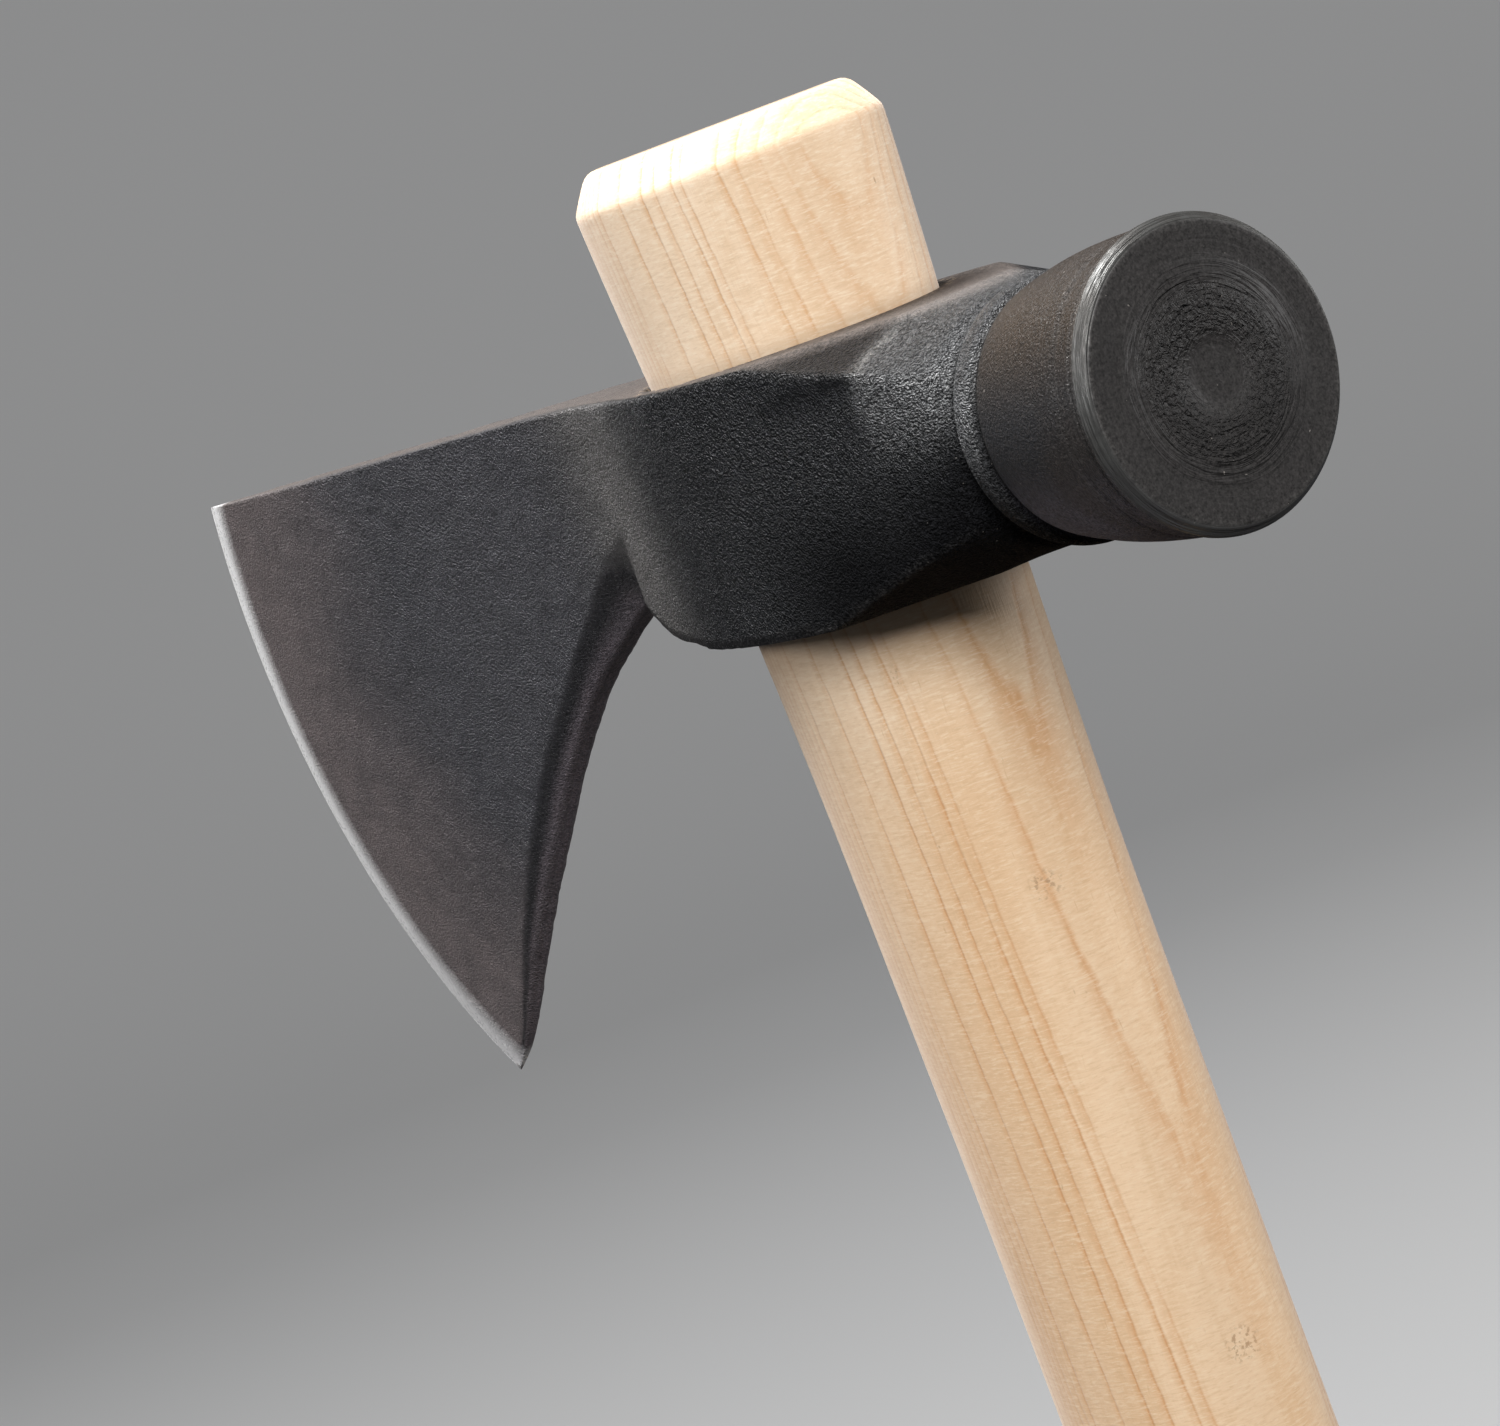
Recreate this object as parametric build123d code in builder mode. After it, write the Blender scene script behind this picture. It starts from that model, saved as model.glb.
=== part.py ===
from build123d import *
import math
import os

# Hammer-poll hatchet with a bearded blade: a forged head that drops over a
# straight, tapered ash haft and locks on the swell at the top of the haft.
# Millimetres. Origin at the centre of the haft's butt end face, +Z along the
# haft towards the head, +X towards the cutting edge, Y across the cheeks.

os.makedirs("parts", exist_ok=True)

# ---- haft -------------------------------------------------------------
haft_len = 559.0          # overall, 22 in
grip_a = 17.3             # half depth of the oval grip (along X)
oval = 0.762              # half width / half depth of the oval
head_top = 534.5          # height of the head's flat top face
eye_a_top = 19.86         # haft half depth where it leaves the eye
eye_a_low = 18.50         # haft half depth where it enters the eye
eye_drop = 30.0           # distance between those two sections
crown_a = 21.15           # half depth just under the top chamfer
top_chamfer_h = 4.0
top_chamfer_in = 2.7
butt_chamfer = 2.2

# ---- fit between haft and eye ------------------------------------------
fit_gap = 0.20            # running clearance all round

# ---- head: eye block ----------------------------------------------------
block_h = 29.4            # height of the eye block
block_half_w = 18.35      # half width where the corner facets begin
neck_half_w = 16.35       # half width where the neck begins
rear_start_x = -15.5      # where the corner facets begin
rear_end_x = -33.0        # where the neck begins
facet_w = 9.0             # corner facet width on the top and bottom faces
facet_top = 3.7           # corner facet drop at the top
facet_low = 4.0           # corner facet drop at the bottom

# ---- head: blade --------------------------------------------------------
edge_r = 82.5             # radius of the cutting edge
edge_cx = 72.36           # centre of the cutting edge arc
edge_cz = head_top - 20.91
cheek_t = 3.15            # half thickness at the root of the blade
bevel_r = 80.2            # inner radius of the ground bevel
bevel_t = 0.78            # half thickness where the bevel starts
land = 0.06               # half width left at the very edge
beard_flat = 0.9          # half width of the flat left on the beard's rear edge
beard_slope = 1.13        # inset of the bevels per mm of thickness

# ---- head: hammer poll ---------------------------------------------------
poll_z = head_top - 14.83
neck_r = 13.35
neck_x = -42.6
collar_r = 13.4
collar_x0 = -42.8
collar_x1 = -46.9
rim_r = 16.05
rim_x = -67.66
face_r = 15.0
face_x = -68.98


def zt(v):
    # height measured from the head's flat top face
    return head_top + v


# =========================== haft =========================================
with BuildPart() as haft:
    # butt chamfer
    with BuildSketch(Plane.XY):
        Ellipse(grip_a - butt_chamfer, grip_a * oval - butt_chamfer)
    with BuildSketch(Plane.XY.offset(butt_chamfer)):
        Ellipse(grip_a, grip_a * oval)
    loft(ruled=True)
    # straight grip
    with BuildSketch(Plane.XY.offset(butt_chamfer)):
        Ellipse(grip_a, grip_a * oval)
    extrude(amount=404.5 - butt_chamfer)
    # swell that the head seats on
    for height, half in (
        (404.5, grip_a),
        (449.5, grip_a + 0.10),
        (479.5, 17.72),
        (zt(-eye_drop), eye_a_low),
        (head_top, eye_a_top),
        (haft_len - top_chamfer_h, crown_a),
    ):
        with BuildSketch(Plane.XY.offset(height)):
            Ellipse(half, half * oval)
    loft()
    # chamfered top
    with BuildSketch(Plane.XY.offset(haft_len - top_chamfer_h)):
        Ellipse(crown_a, crown_a * oval)
    with BuildSketch(Plane.XY.offset(haft_len)):
        Ellipse(crown_a - top_chamfer_in, crown_a * oval - top_chamfer_in)
    loft(ruled=True)
    top_ring = haft.faces().sort_by(Axis.Z)[-1].edges()
    fillet(top_ring, radius=1.2)

# =========================== head =========================================
plan_pts = [
    (-7.0, 18.65), (0.0, 18.05), (5.0, 17.2), (10.0, 15.95), (15.0, 14.35),
    (20.0, 12.65), (25.0, 10.95), (30.0, 9.4), (35.0, 8.0), (40.0, 6.75),
    (45.0, 5.75), (50.0, 5.0), (55.0, 4.42), (60.0, 3.98), (66.0, 3.55),
    (76.0, 3.0),
]

# beard and underside, from the lower tip of the blade to the neck
beard_pts = [
    (121.3, -80.45), (113.9, -73.75), (106.9, -66.9), (100.0, -60.6),
    (92.0, -53.6), (85.5, -48.1), (80.6, -44.1), (74.7, -39.75),
    (69.2, -36.05), (64.1, -33.05), (58.4, -30.3), (53.8, -28.2),
    (49.8, -26.5), (46.3, -25.35),
]
tip = (126.0, -83.62)
notch = (43.2, -24.9)
chin_pts = [
    (40.0, -25.25), (37.4, -26.3), (35.0, -27.3), (32.0, -28.05),
    (26.0, -28.5), (19.0, -28.9), (12.0, -29.2),
]


def octagon(w, chamf_w, drop_top, drop_low, top, low):
    # outline of the eye block across the head, local (Y, Z)
    return [
        (w, zt(-drop_top)), (w - chamf_w, zt(top)),
        (-w + chamf_w, zt(top)), (-w, zt(-drop_top)),
        (-w, zt(low + drop_low)), (-w + chamf_w, zt(low)),
        (w - chamf_w, zt(low)), (w, zt(low + drop_low)),
    ]


neck_section = octagon(neck_half_w, facet_w, facet_top, facet_low,
                       -0.25, -28.8)
neck_cz = head_top - 14.75
neck_corners = [33.0, 58.0, 122.0, 147.0, 213.0, 238.0, 302.0, 327.0]

side_front = [
    (tip[0], zt(tip[1])), *[(x, zt(z)) for x, z in beard_pts],
    (notch[0], zt(notch[1])),
]
toe_x = edge_cx + math.sqrt(edge_r ** 2 - 20.91 ** 2)
edge_mid = (
    edge_cx + edge_r * math.cos(math.radians(-16)),
    edge_cz + edge_r * math.sin(math.radians(-16)),
)

def beard_line(inset):
    # rear edge of the beard from the tip to the notch, moved into the blade
    run = [(166.0, zt(-110.0))] + side_front + [(10.0, zt(notch[1]))]
    moved = []
    for i in range(len(run)):
        p, q = run[max(i - 1, 0)], run[min(i + 1, len(run) - 1)]
        dx, dz = q[0] - p[0], q[1] - p[1]
        size = math.hypot(dx, dz)
        moved.append((run[i][0] + inset * dz / size,
                      run[i][1] - inset * dx / size))
    return moved


# form that bevels the rear edge of the beard towards its middle plane
with BuildPart() as beard_form:
    for near, far, inset_near, inset_far in (
        (-beard_flat, beard_flat, 0.0, 0.0),
        (beard_flat, beard_flat + 8.0, 0.0, 8.0 * beard_slope),
    ):
        for shift, inset in ((near, inset_near), (far, inset_far)):
            line = beard_line(inset)
            with BuildSketch(Plane.XZ.offset(shift)):
                with BuildLine():
                    Polyline(line[-1], (10.0, zt(40.0)), (240.0, zt(40.0)),
                             (240.0, zt(-110.0)), line[0], line[1])
                    Spline(*line[1:-1],
                           tangents=[(-1, 0.66), (-1, 0.05)])
                    Line(line[-2], line[-1])
                make_face()
        loft(ruled=True)
    mirror(about=Plane.XZ)

with BuildPart() as head:
    # blade: wedge whose thickness depends on the distance from the edge
    with BuildSketch(Plane.XY.offset(edge_cz)):
        with BuildLine():
            Line((edge_cx, 0), (edge_cx, cheek_t))
            Line((edge_cx, cheek_t), (edge_cx + 23.0, cheek_t))
            Spline(
                (edge_cx + 23.0, cheek_t), (edge_cx + 35.0, 2.98),
                (edge_cx + 48.0, 2.58), (edge_cx + 60.0, 2.05),
                (edge_cx + 71.0, 1.42), (edge_cx + bevel_r, bevel_t),
                tangents=[(1, 0), (1, -0.075)],
            )
            Line((edge_cx + bevel_r, bevel_t), (edge_cx + edge_r, land))
            Line((edge_cx + edge_r, land), (edge_cx + edge_r, 0))
            Line((edge_cx + edge_r, 0), (edge_cx, 0))
        make_face()
    revolve(axis=Axis((edge_cx, 0, edge_cz), (0, 1, 0)), revolution_arc=360)
    mirror(about=Plane.XZ)
    with BuildSketch(Plane.XZ):
        with Locations((120.0, head_top - 40.0)):
            Rectangle(120.0, 140.0)
    extrude(amount=12, both=True, mode=Mode.INTERSECT)

    # cheeks flaring from the blade towards the eye, drawn in plan
    flare = [p for p in plan_pts if p[0] >= 35.0]
    with BuildSketch(Plane.XY.offset(head_top - 45.0)):
        with BuildLine():
            Line((flare[0][0], 0), flare[0])
            Spline(*flare, tangents=[(1, -0.265), (1, -0.05)])
            Line(flare[-1], (flare[-1][0], 0))
            Line((flare[-1][0], 0), (flare[0][0], 0))
        make_face()
        mirror(about=Plane.XZ)
    extrude(amount=45.0)
    add(beard_form.part, mode=Mode.INTERSECT)

    # eye block drawn in plan, closing to a nose inside the cheeks
    with BuildSketch(Plane.XY.offset(head_top - block_h)):
        with BuildLine():
            Line((rear_start_x, 0), (rear_start_x, block_half_w))
            Spline(
                (rear_start_x, block_half_w),
                *[p for p in plan_pts if p[0] <= 35.0],
                (40.0, 6.1), (43.5, 3.9), (45.6, 0.0),
                tangents=[(1, 0.03), (0, -1)],
            )
            Line((45.6, 0), (rear_start_x, 0))
        make_face()
        mirror(about=Plane.XZ)
    extrude(amount=block_h)

    # side view of blade and eye block
    with BuildSketch(Plane.XZ):
        with BuildLine():
            Line((rear_start_x, zt(0)), (toe_x, zt(0)))
            ThreePointArc((toe_x, zt(0)), edge_mid, (tip[0], zt(tip[1])))
            Spline(*side_front, tangents=[(-1, 0.66), (-1, 0.05)])
            Spline(
                (notch[0], zt(notch[1])),
                *[(x, zt(z)) for x, z in chin_pts],
                (2.0, zt(-block_h)),
                tangents=[(-1, 0.0), (-1, 0.0)],
            )
            Line((2.0, zt(-block_h)), (rear_start_x, zt(-block_h)))
            Line((rear_start_x, zt(-block_h)), (rear_start_x, zt(0)))
        make_face()
    extrude(amount=30, both=True, mode=Mode.INTERSECT)

    # rear of the eye block: corner facets that widen towards the neck
    with BuildSketch(Plane.YZ.offset(rear_start_x)):
        Polygon(*octagon(block_half_w, 0.3, 0.2, 0.2, 0, -block_h), align=None)
    with BuildSketch(Plane.YZ.offset(rear_end_x)):
        Polygon(*neck_section, align=None)
    loft(ruled=True)

    # neck: from the faceted block to round
    with BuildSketch(Plane.YZ.offset(rear_end_x)):
        Polygon(*neck_section, align=None)
    with BuildSketch(Plane.YZ.offset(neck_x)):
        with BuildLine():
            for i in range(8):
                a0 = neck_corners[i]
                a1 = neck_corners[(i + 1) % 8] + (360 if i == 7 else 0)
                am = (a0 + a1) / 2
                ThreePointArc(*[
                    (neck_r * math.cos(math.radians(a)),
                     neck_cz + neck_r * math.sin(math.radians(a)))
                    for a in (a0, am, a1)
                ])
        make_face()
    loft(ruled=True)

    # collar, barrel and face of the hammer poll
    with BuildSketch(Plane.XZ):
        with BuildLine():
            Line((-39.0, poll_z), (-39.0, poll_z + 12.0))
            Line((-39.0, poll_z + 12.0), (collar_x0, poll_z + collar_r - 0.1))
            ThreePointArc(
                (collar_x0, poll_z + collar_r - 0.1),
                ((collar_x0 + collar_x1) / 2, poll_z + collar_r + 0.28),
                (collar_x1, poll_z + collar_r),
            )
            Spline(
                (collar_x1, poll_z + collar_r), (-50.5, poll_z + 14.22),
                (-54.5, poll_z + 14.88), (-58.5, poll_z + 15.28),
                (-63.2, poll_z + 15.5),
                tangents=[(-1, 0.27), (-1, 0.03)],
            )
            Polyline(
                (-63.2, poll_z + 15.5), (-63.5, poll_z + 15.3),
                (-63.8, poll_z + 15.52), (-66.2, poll_z + 15.58),
                (-66.45, poll_z + 15.36), (-66.75, poll_z + 15.36),
                (-66.95, poll_z + 15.98), (rim_x, poll_z + rim_r),
                (face_x, poll_z + face_r), (face_x, poll_z), (-39.0, poll_z),
            )
        make_face()
    revolve(axis=Axis((0, 0, poll_z), (1, 0, 0)), revolution_arc=360)

    # eye, tapered to match the haft
    taper = (eye_a_top - eye_a_low) / eye_drop
    for v in (1.0, -block_h - 1.0):
        half = eye_a_top + taper * v
        with BuildSketch(Plane.XY.offset(zt(v))):
            Ellipse(half + fit_gap, half * oval + fit_gap)
    loft(ruled=True, mode=Mode.SUBTRACT)

haft.part.label = "haft"
export_step(haft.part, "parts/haft.step")
head.part.label = "head"
export_step(head.part, "parts/head.step")

for name, piece in (("haft", haft.part), ("head", head.part)):
    bb = piece.bounding_box()
    print(name, "solids", len(piece.solids()), "volume", round(piece.volume, 1),
          "box", [round(v, 2) for v in (bb.min.X, bb.min.Y, bb.min.Z,
                                        bb.max.X, bb.max.Y, bb.max.Z)])
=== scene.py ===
import math

import bmesh
import bpy
import numpy as np
from mathutils import Matrix, Vector


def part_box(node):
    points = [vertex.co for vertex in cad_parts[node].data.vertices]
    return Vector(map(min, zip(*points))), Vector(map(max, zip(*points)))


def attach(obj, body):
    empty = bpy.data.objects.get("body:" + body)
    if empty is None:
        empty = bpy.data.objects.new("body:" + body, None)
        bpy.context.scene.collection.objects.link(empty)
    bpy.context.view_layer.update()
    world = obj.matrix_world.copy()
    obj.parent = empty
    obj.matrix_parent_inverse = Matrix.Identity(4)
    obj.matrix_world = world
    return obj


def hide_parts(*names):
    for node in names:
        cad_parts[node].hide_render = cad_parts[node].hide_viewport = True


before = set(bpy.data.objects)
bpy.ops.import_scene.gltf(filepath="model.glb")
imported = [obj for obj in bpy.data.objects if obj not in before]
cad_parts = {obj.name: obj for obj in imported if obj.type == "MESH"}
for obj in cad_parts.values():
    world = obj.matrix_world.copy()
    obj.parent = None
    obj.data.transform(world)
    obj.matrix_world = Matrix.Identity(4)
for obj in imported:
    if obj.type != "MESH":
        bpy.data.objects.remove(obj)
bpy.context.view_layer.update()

head_lo, head_hi = [np.array(v) * 1000 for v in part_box("head")]
haft_lo, haft_hi = [np.array(v) * 1000 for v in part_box("haft")]

# ------------------------------------------------------------------ lengths, mm
TOP = head_hi[2] - 1.22          # flat top face of the head
EDGE_R = 82.5
ECX, ECZ = head_hi[0] - EDGE_R, TOP - 20.91   # centre of the cutting edge arc
FACE_X = head_lo[0]              # striking face
PZ = TOP - 14.83                 # axis of the poll
BLOCK_H = 29.4
BUTT, CROWN = haft_lo[2], haft_hi[2]

# ------------------------------------------------------------------ numeric help


def cubic(xs, ys, d0=None, d1=None):
    """Cubic spline through points, clamped where an end slope is given."""
    xs, ys = np.asarray(xs, float), np.asarray(ys, float)
    n = len(xs)
    h = np.diff(xs)
    a = np.zeros((n, n))
    b = np.zeros((n,) + ys.shape[1:])
    for i in range(1, n - 1):
        a[i, i - 1], a[i, i], a[i, i + 1] = h[i - 1], 2 * (h[i - 1] + h[i]), h[i]
        b[i] = 6 * ((ys[i + 1] - ys[i]) / h[i] - (ys[i] - ys[i - 1]) / h[i - 1])
    if d0 is None:
        a[0, 0] = 1
    else:
        a[0, 0], a[0, 1] = 2 * h[0], h[0]
        b[0] = 6 * ((ys[1] - ys[0]) / h[0] - np.asarray(d0))
    if d1 is None:
        a[-1, -1] = 1
    else:
        a[-1, -1], a[-1, -2] = 2 * h[-1], h[-1]
        b[-1] = 6 * (np.asarray(d1) - (ys[-1] - ys[-2]) / h[-1])
    m = np.linalg.solve(a, b)

    def at(x):
        x = np.asarray(x, float)
        i = np.clip(np.searchsorted(xs, x) - 1, 0, n - 2)
        t0, t1, hh = x - xs[i], xs[i + 1] - x, h[i]
        if ys.ndim > 1:
            t0, t1, hh = t0[..., None], t1[..., None], hh[..., None]
        return (
            m[i] * t1**3 / (6 * hh) + m[i + 1] * t0**3 / (6 * hh)
            + (ys[i] / hh - m[i] * hh / 6) * t1
            + (ys[i + 1] / hh - m[i + 1] * hh / 6) * t0
        )

    return at


def chord(pts):
    pts = np.asarray(pts, float)
    return np.r_[0, np.cumsum(np.linalg.norm(np.diff(pts, axis=0), axis=1))]


def curve(pts, t0, t1, count):
    """Points on a smooth curve through pts with unit end tangents."""
    pts = np.asarray(pts, float)
    s = chord(pts)
    t0, t1 = np.asarray(t0, float), np.asarray(t1, float)
    f = cubic(s, pts, t0 / np.linalg.norm(t0), t1 / np.linalg.norm(t1))
    q = f(np.linspace(0, s[-1], count * 4))
    return along(q, np.linspace(0, 1, count))


def along(pts, share):
    s = chord(pts)
    t = np.asarray(share) * s[-1]
    return np.stack([np.interp(t, s, pts[:, k]) for k in range(pts.shape[1])], -1)


def step(a, b, x):
    t = np.clip((x - a) / (b - a), 0, 1)
    return t * t * (3 - 2 * t)


def blur(values, sigma):
    """Gaussian blur along the first axis; ends are mirrored."""
    reach = max(1, int(3.5 * sigma))
    k = np.exp(-0.5 * (np.arange(-reach, reach + 1) / sigma) ** 2)
    k /= k.sum()
    v = np.concatenate([
        2 * values[:1] - values[reach:0:-1], values,
        2 * values[-1:] - values[-2:-reach - 2:-1],
    ])
    return np.stack(
        [np.convolve(v[:, c], k, "valid") for c in range(v.shape[1])], -1
    )


rng = np.random.RandomState(20)
LATTICE = rng.rand(48, 48, 48).astype(np.float32) * 2 - 1


def noise(p, size, seed=0, octaves=1, gain=0.5):
    """Smooth value noise of position, -1 to 1; size is the spacing in mm."""
    total, amp, norm = 0, 1.0, 0.0
    for o in range(octaves):
        q = p / (np.asarray(size) / 2**o) + seed * 7.31 + o * 3.7
        i = np.floor(q).astype(int)
        f = q - i
        f = f * f * f * (f * (6 * f - 15) + 10)
        v = 0
        for dx in (0, 1):
            for dy in (0, 1):
                for dz in (0, 1):
                    w = (
                        (f[:, 0] if dx else 1 - f[:, 0])
                        * (f[:, 1] if dy else 1 - f[:, 1])
                        * (f[:, 2] if dz else 1 - f[:, 2])
                    )
                    v = v + w * LATTICE[
                        (i[:, 0] + dx) % 48, (i[:, 1] + dy) % 48, (i[:, 2] + dz) % 48
                    ]
        total, norm, amp = total + amp * v, norm + amp, amp * gain
    return total / norm * 1.6


# ------------------------------------------------------------------ head: outline
PLAN = np.array([
    (-15.5, 18.35), (-7.0, 18.65), (0.0, 18.05), (5.0, 17.2), (10.0, 15.95),
    (15.0, 14.35), (20.0, 12.65), (25.0, 10.95), (30.0, 9.4), (35.0, 8.0),
    (40.0, 6.75), (45.0, 5.75), (50.0, 5.0), (55.0, 4.42), (60.0, 3.98),
    (66.0, 3.55), (76.0, 3.0),
])
plan_in = cubic(PLAN[:, 0], PLAN[:, 1], 0.03, -0.05)


def flare(x):
    x = np.asarray(x, float)
    return np.where(x > 76, 3.0 - 0.055 * (x - 76), plan_in(np.clip(x, -15.5, 76)))


def nose(x):
    x = np.asarray(x, float)
    sq = np.interp(x, [35, 37, 40, 43.5, 45.6], [64.0, 54.5, 37.2, 15.2, 0.0])
    return np.where(x < 35, flare(x), np.sqrt(np.maximum(sq, 0)))


BEARD = np.array([
    (126.0, -83.62), (121.3, -80.45), (113.9, -73.75), (106.9, -66.9),
    (100.0, -60.6), (92.0, -53.6), (85.5, -48.1), (80.6, -44.1), (74.7, -39.75),
    (69.2, -36.05), (64.1, -33.05), (58.4, -30.3), (53.8, -28.2), (49.8, -26.5),
    (46.3, -25.35), (43.2, -24.9),
])
beard = curve(BEARD, (-1, 0.66), (-1, 0.05), 600)[::-1]      # notch to tip
CHIN = np.array([
    (43.2, -24.9), (40.0, -25.2), (37.4, -26.1), (35.2, -27.2), (33.2, -28.2),
    (30.5, -28.8), (26.0, -29.1), (19.0, -29.6), (12.0, -29.7), (3.0, -29.5),
    (-6.0, -29.4),
])
chin = curve(CHIN, (-1, 0), (-1, 0), 400)[::-1]              # back to notch


def under(x):
    return np.interp(x, chin[:, 0], chin[:, 1], left=-BLOCK_H)


beard_far = np.vstack([
    [(10.0, -24.9)], beard[::3], [(166.0, -110.0)]
])


def beard_gap(p):
    """Distance from points (x, z) to the rear edge of the beard."""
    a, b = beard_far[:-1], beard_far[1:]
    d = b - a
    t = ((p[:, None] - a) * d).sum(-1) / (d * d).sum(-1)
    q = a + np.clip(t, 0, 1)[..., None] * d
    return np.linalg.norm(p[:, None] - q, axis=-1).min(1)


wedge_in = cubic([23, 35, 48, 60, 71, 80.2],
                 [3.15, 2.98, 2.58, 2.05, 1.42, 0.78], 0.0, -0.075)


GROUND = 78.3        # where the ground bevel starts, it runs out to the edge arc


def wedge(rho):
    t = np.where(rho < 23, 3.15, wedge_in(np.clip(rho, 23, 80.2)))
    q = np.clip((EDGE_R - rho) / (EDGE_R - GROUND), 0, 1)
    t0 = float(wedge_in(GROUND))
    return np.where(rho > GROUND, 0.06 + (t0 - 0.06) * (0.82 * q + 0.18 * (2 * q - q * q)), t)


def beard_shape(x):
    """Half width of the flat along the rear edge of the beard, and the bevel's rise."""
    flat = np.interp(x, [43, 60, 80, 100, 113, 122, 126], [1.55, 1.5, 1.3, 1.15, 0.95, 0.55, 0.2])
    rise = np.interp(x, [43, 60, 80, 100, 113, 126], [0.62, 0.56, 0.56, 0.56, 0.60, 0.8])
    return flat, rise


def half_width(p):
    """Half thickness of blade and block at points (x, z), z from the top face."""
    x, z = p[:, 0], p[:, 1]
    rho = np.hypot(x - ECX, z + 20.91)
    a, b = flare(x), wedge(rho)
    b = np.where(x < 58, 0, b)
    side = 0.5 * (a + b + np.sqrt((a - b) ** 2 + 0.04)) - 0.02
    side = np.where(x > 110, np.minimum(side, b), side)
    flat, slope = beard_shape(x)
    bevel = flat + beard_gap(p) * slope
    soft = 0.10 + 0.5 * step(62, 44, x)
    low = 0.5 * (side + bevel - np.sqrt((side - bevel) ** 2 + soft**2)) + 0.25 * soft * step(4 * soft, 0, np.abs(side - bevel))
    n_ = np.where(x < 46, nose(x), 0)
    return np.maximum(low, n_), side, bevel


# ------------------------------------------------------------------ head: rings


def graded(count, length, near, m=3):
    """Shares of a segment with m short steps over a length near at both ends."""
    near = min(near, 0.45 * length) if length > 0 else 0
    if count <= 2 * m + 1 or length <= 0:
        return np.linspace(0, 1, count + 1)[:-1]
    e = near / length
    k = count - 2 * m
    return np.concatenate([
        np.linspace(0, e, m + 1)[:-1], np.linspace(e, 1 - e, k + 1)[:-1],
        np.linspace(1 - e, 1, m + 1)[:-1],
    ])


def half_ring(poly, marks, counts, sigma, near):
    """Rounded half outline from the top middle to the bottom middle.

    poly holds (depth, y); marks are indexes of its corners; counts has one more
    entry than marks. Returns (depth, y) samples."""
    s = chord(poly)
    du = 0.06
    n = int(s[-1] / du) + 1
    t = np.linspace(0, s[-1], n)
    line = np.stack([np.interp(t, s, poly[:, 0]), np.interp(t, s, poly[:, 1])], -1)
    reach = int(3.5 * sigma / du) + 1
    reach = min(reach, n - 2)
    flip = np.array([1, -1])
    wide = np.vstack([line[reach:0:-1] * flip, line, line[-2:-reach - 2:-1] * flip])
    k = np.exp(-0.5 * (np.arange(-reach, reach + 1) * du / sigma) ** 2)
    k /= k.sum()
    soft = np.stack([np.convolve(wide[:, c], k, "valid") for c in (0, 1)], -1)
    ends = [0] + [s[m] for m in marks] + [s[-1]]
    where = []
    for i, c in enumerate(counts):
        a, b = ends[i], ends[i + 1]
        m = 3 if c > 10 else (2 if c > 5 else 0)
        g = graded(c, b - a, near, m)
        where.append(a + g * (b - a))
    where = np.r_[np.concatenate(where), s[-1]]
    return np.stack([np.interp(where, t, soft[:, 0]),
                     np.interp(where, t, soft[:, 1])], -1)


def full(half_points):
    """Closed ring of (x, y, z) from its +y half."""
    other = half_points[-2:0:-1] * np.array([1, -1, 1])
    return np.vstack([half_points, other])


rings = []          # list of zones; a zone is a list of rings with equal counts

# striking face, barrel and collar, turned about the poll axis
prof = [(FACE_X, 0.0), (FACE_X, 15.0), (-67.66, 16.05), (-66.95, 15.98),
        (-66.75, 15.36), (-66.45, 15.36), (-66.2, 15.58), (-63.8, 15.52),
        (-63.5, 15.3), (-63.2, 15.5)]
barrel = curve([(-63.2, 15.5), (-58.5, 15.28), (-54.5, 14.88), (-50.5, 14.22),
                (-46.9, 13.4)], (1, -0.03), (1, -0.27), 60)
bead_a = np.linspace(0, 1, 30)
bead = np.stack([
    -46.9 + 4.1 * bead_a,
    13.4 - 0.1 * bead_a + 0.78 * np.sin(np.pi * bead_a) ** 0.7
    - 0.42 * np.exp(-((bead_a / 0.09) ** 2)) - 0.35 * np.exp(-(((bead_a - 1) / 0.09) ** 2)),
], -1)
prof = np.vstack([prof, barrel[1:], bead[1:], [(-42.6, 13.35)]])
ps = chord(prof)
pt = np.arange(0, ps[-1], 0.04)
pl = np.stack([np.interp(pt, ps, prof[:, 0]), np.interp(pt, ps, prof[:, 1])], -1)
pl = blur(pl, 3.2)
marks = [ps[1], ps[2], ps[3], ps[6], ps[7], ps[9], ps[9 + 59], ps[-2], ps[-1]]
where = [np.linspace(0.3, marks[0] - 0.25, 44)[:-1]]
prev = marks[0] - 0.25
for m, c in zip(marks[1:], (9, 5, 10, 7, 6, 34, 13, 1)):
    where.append(np.linspace(prev, m, c + 1)[:-1])
    prev = m
where = np.r_[np.concatenate(where), marks[-1]]
turned = np.stack([np.interp(where, pt, pl[:, 0]), np.interp(where, pt, pl[:, 1])], -1)
COUNT_A = (22, 16, 42, 16, 22)
ANG_A = (90, 58, 33, -33, -58, -90)
ang = np.concatenate([
    np.linspace(ANG_A[i], ANG_A[i + 1], COUNT_A[i] + 1)[:-1] for i in range(5)
] + [[-90]])
ang = np.radians(ang)
zone_a = [
    full(np.stack([np.full(len(ang), x), r * np.cos(ang), PZ + r * np.sin(ang)], -1))
    for x, r in turned
]

# back of the eye block with its corner facets
gx = np.arange(-60.0, 40.0, 0.1)
wide_x = np.where(gx < -15.5, 18.35 + (gx + 15.5) * (2.0 / 17.5), flare(gx))
facet_x = np.clip((-15.5 - gx) / 17.5, 0, 2)
wide_x = blur(wide_x[:, None], 13)[:, 0]
facet_x = blur(facet_x[:, None], 6)[:, 0]


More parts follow.
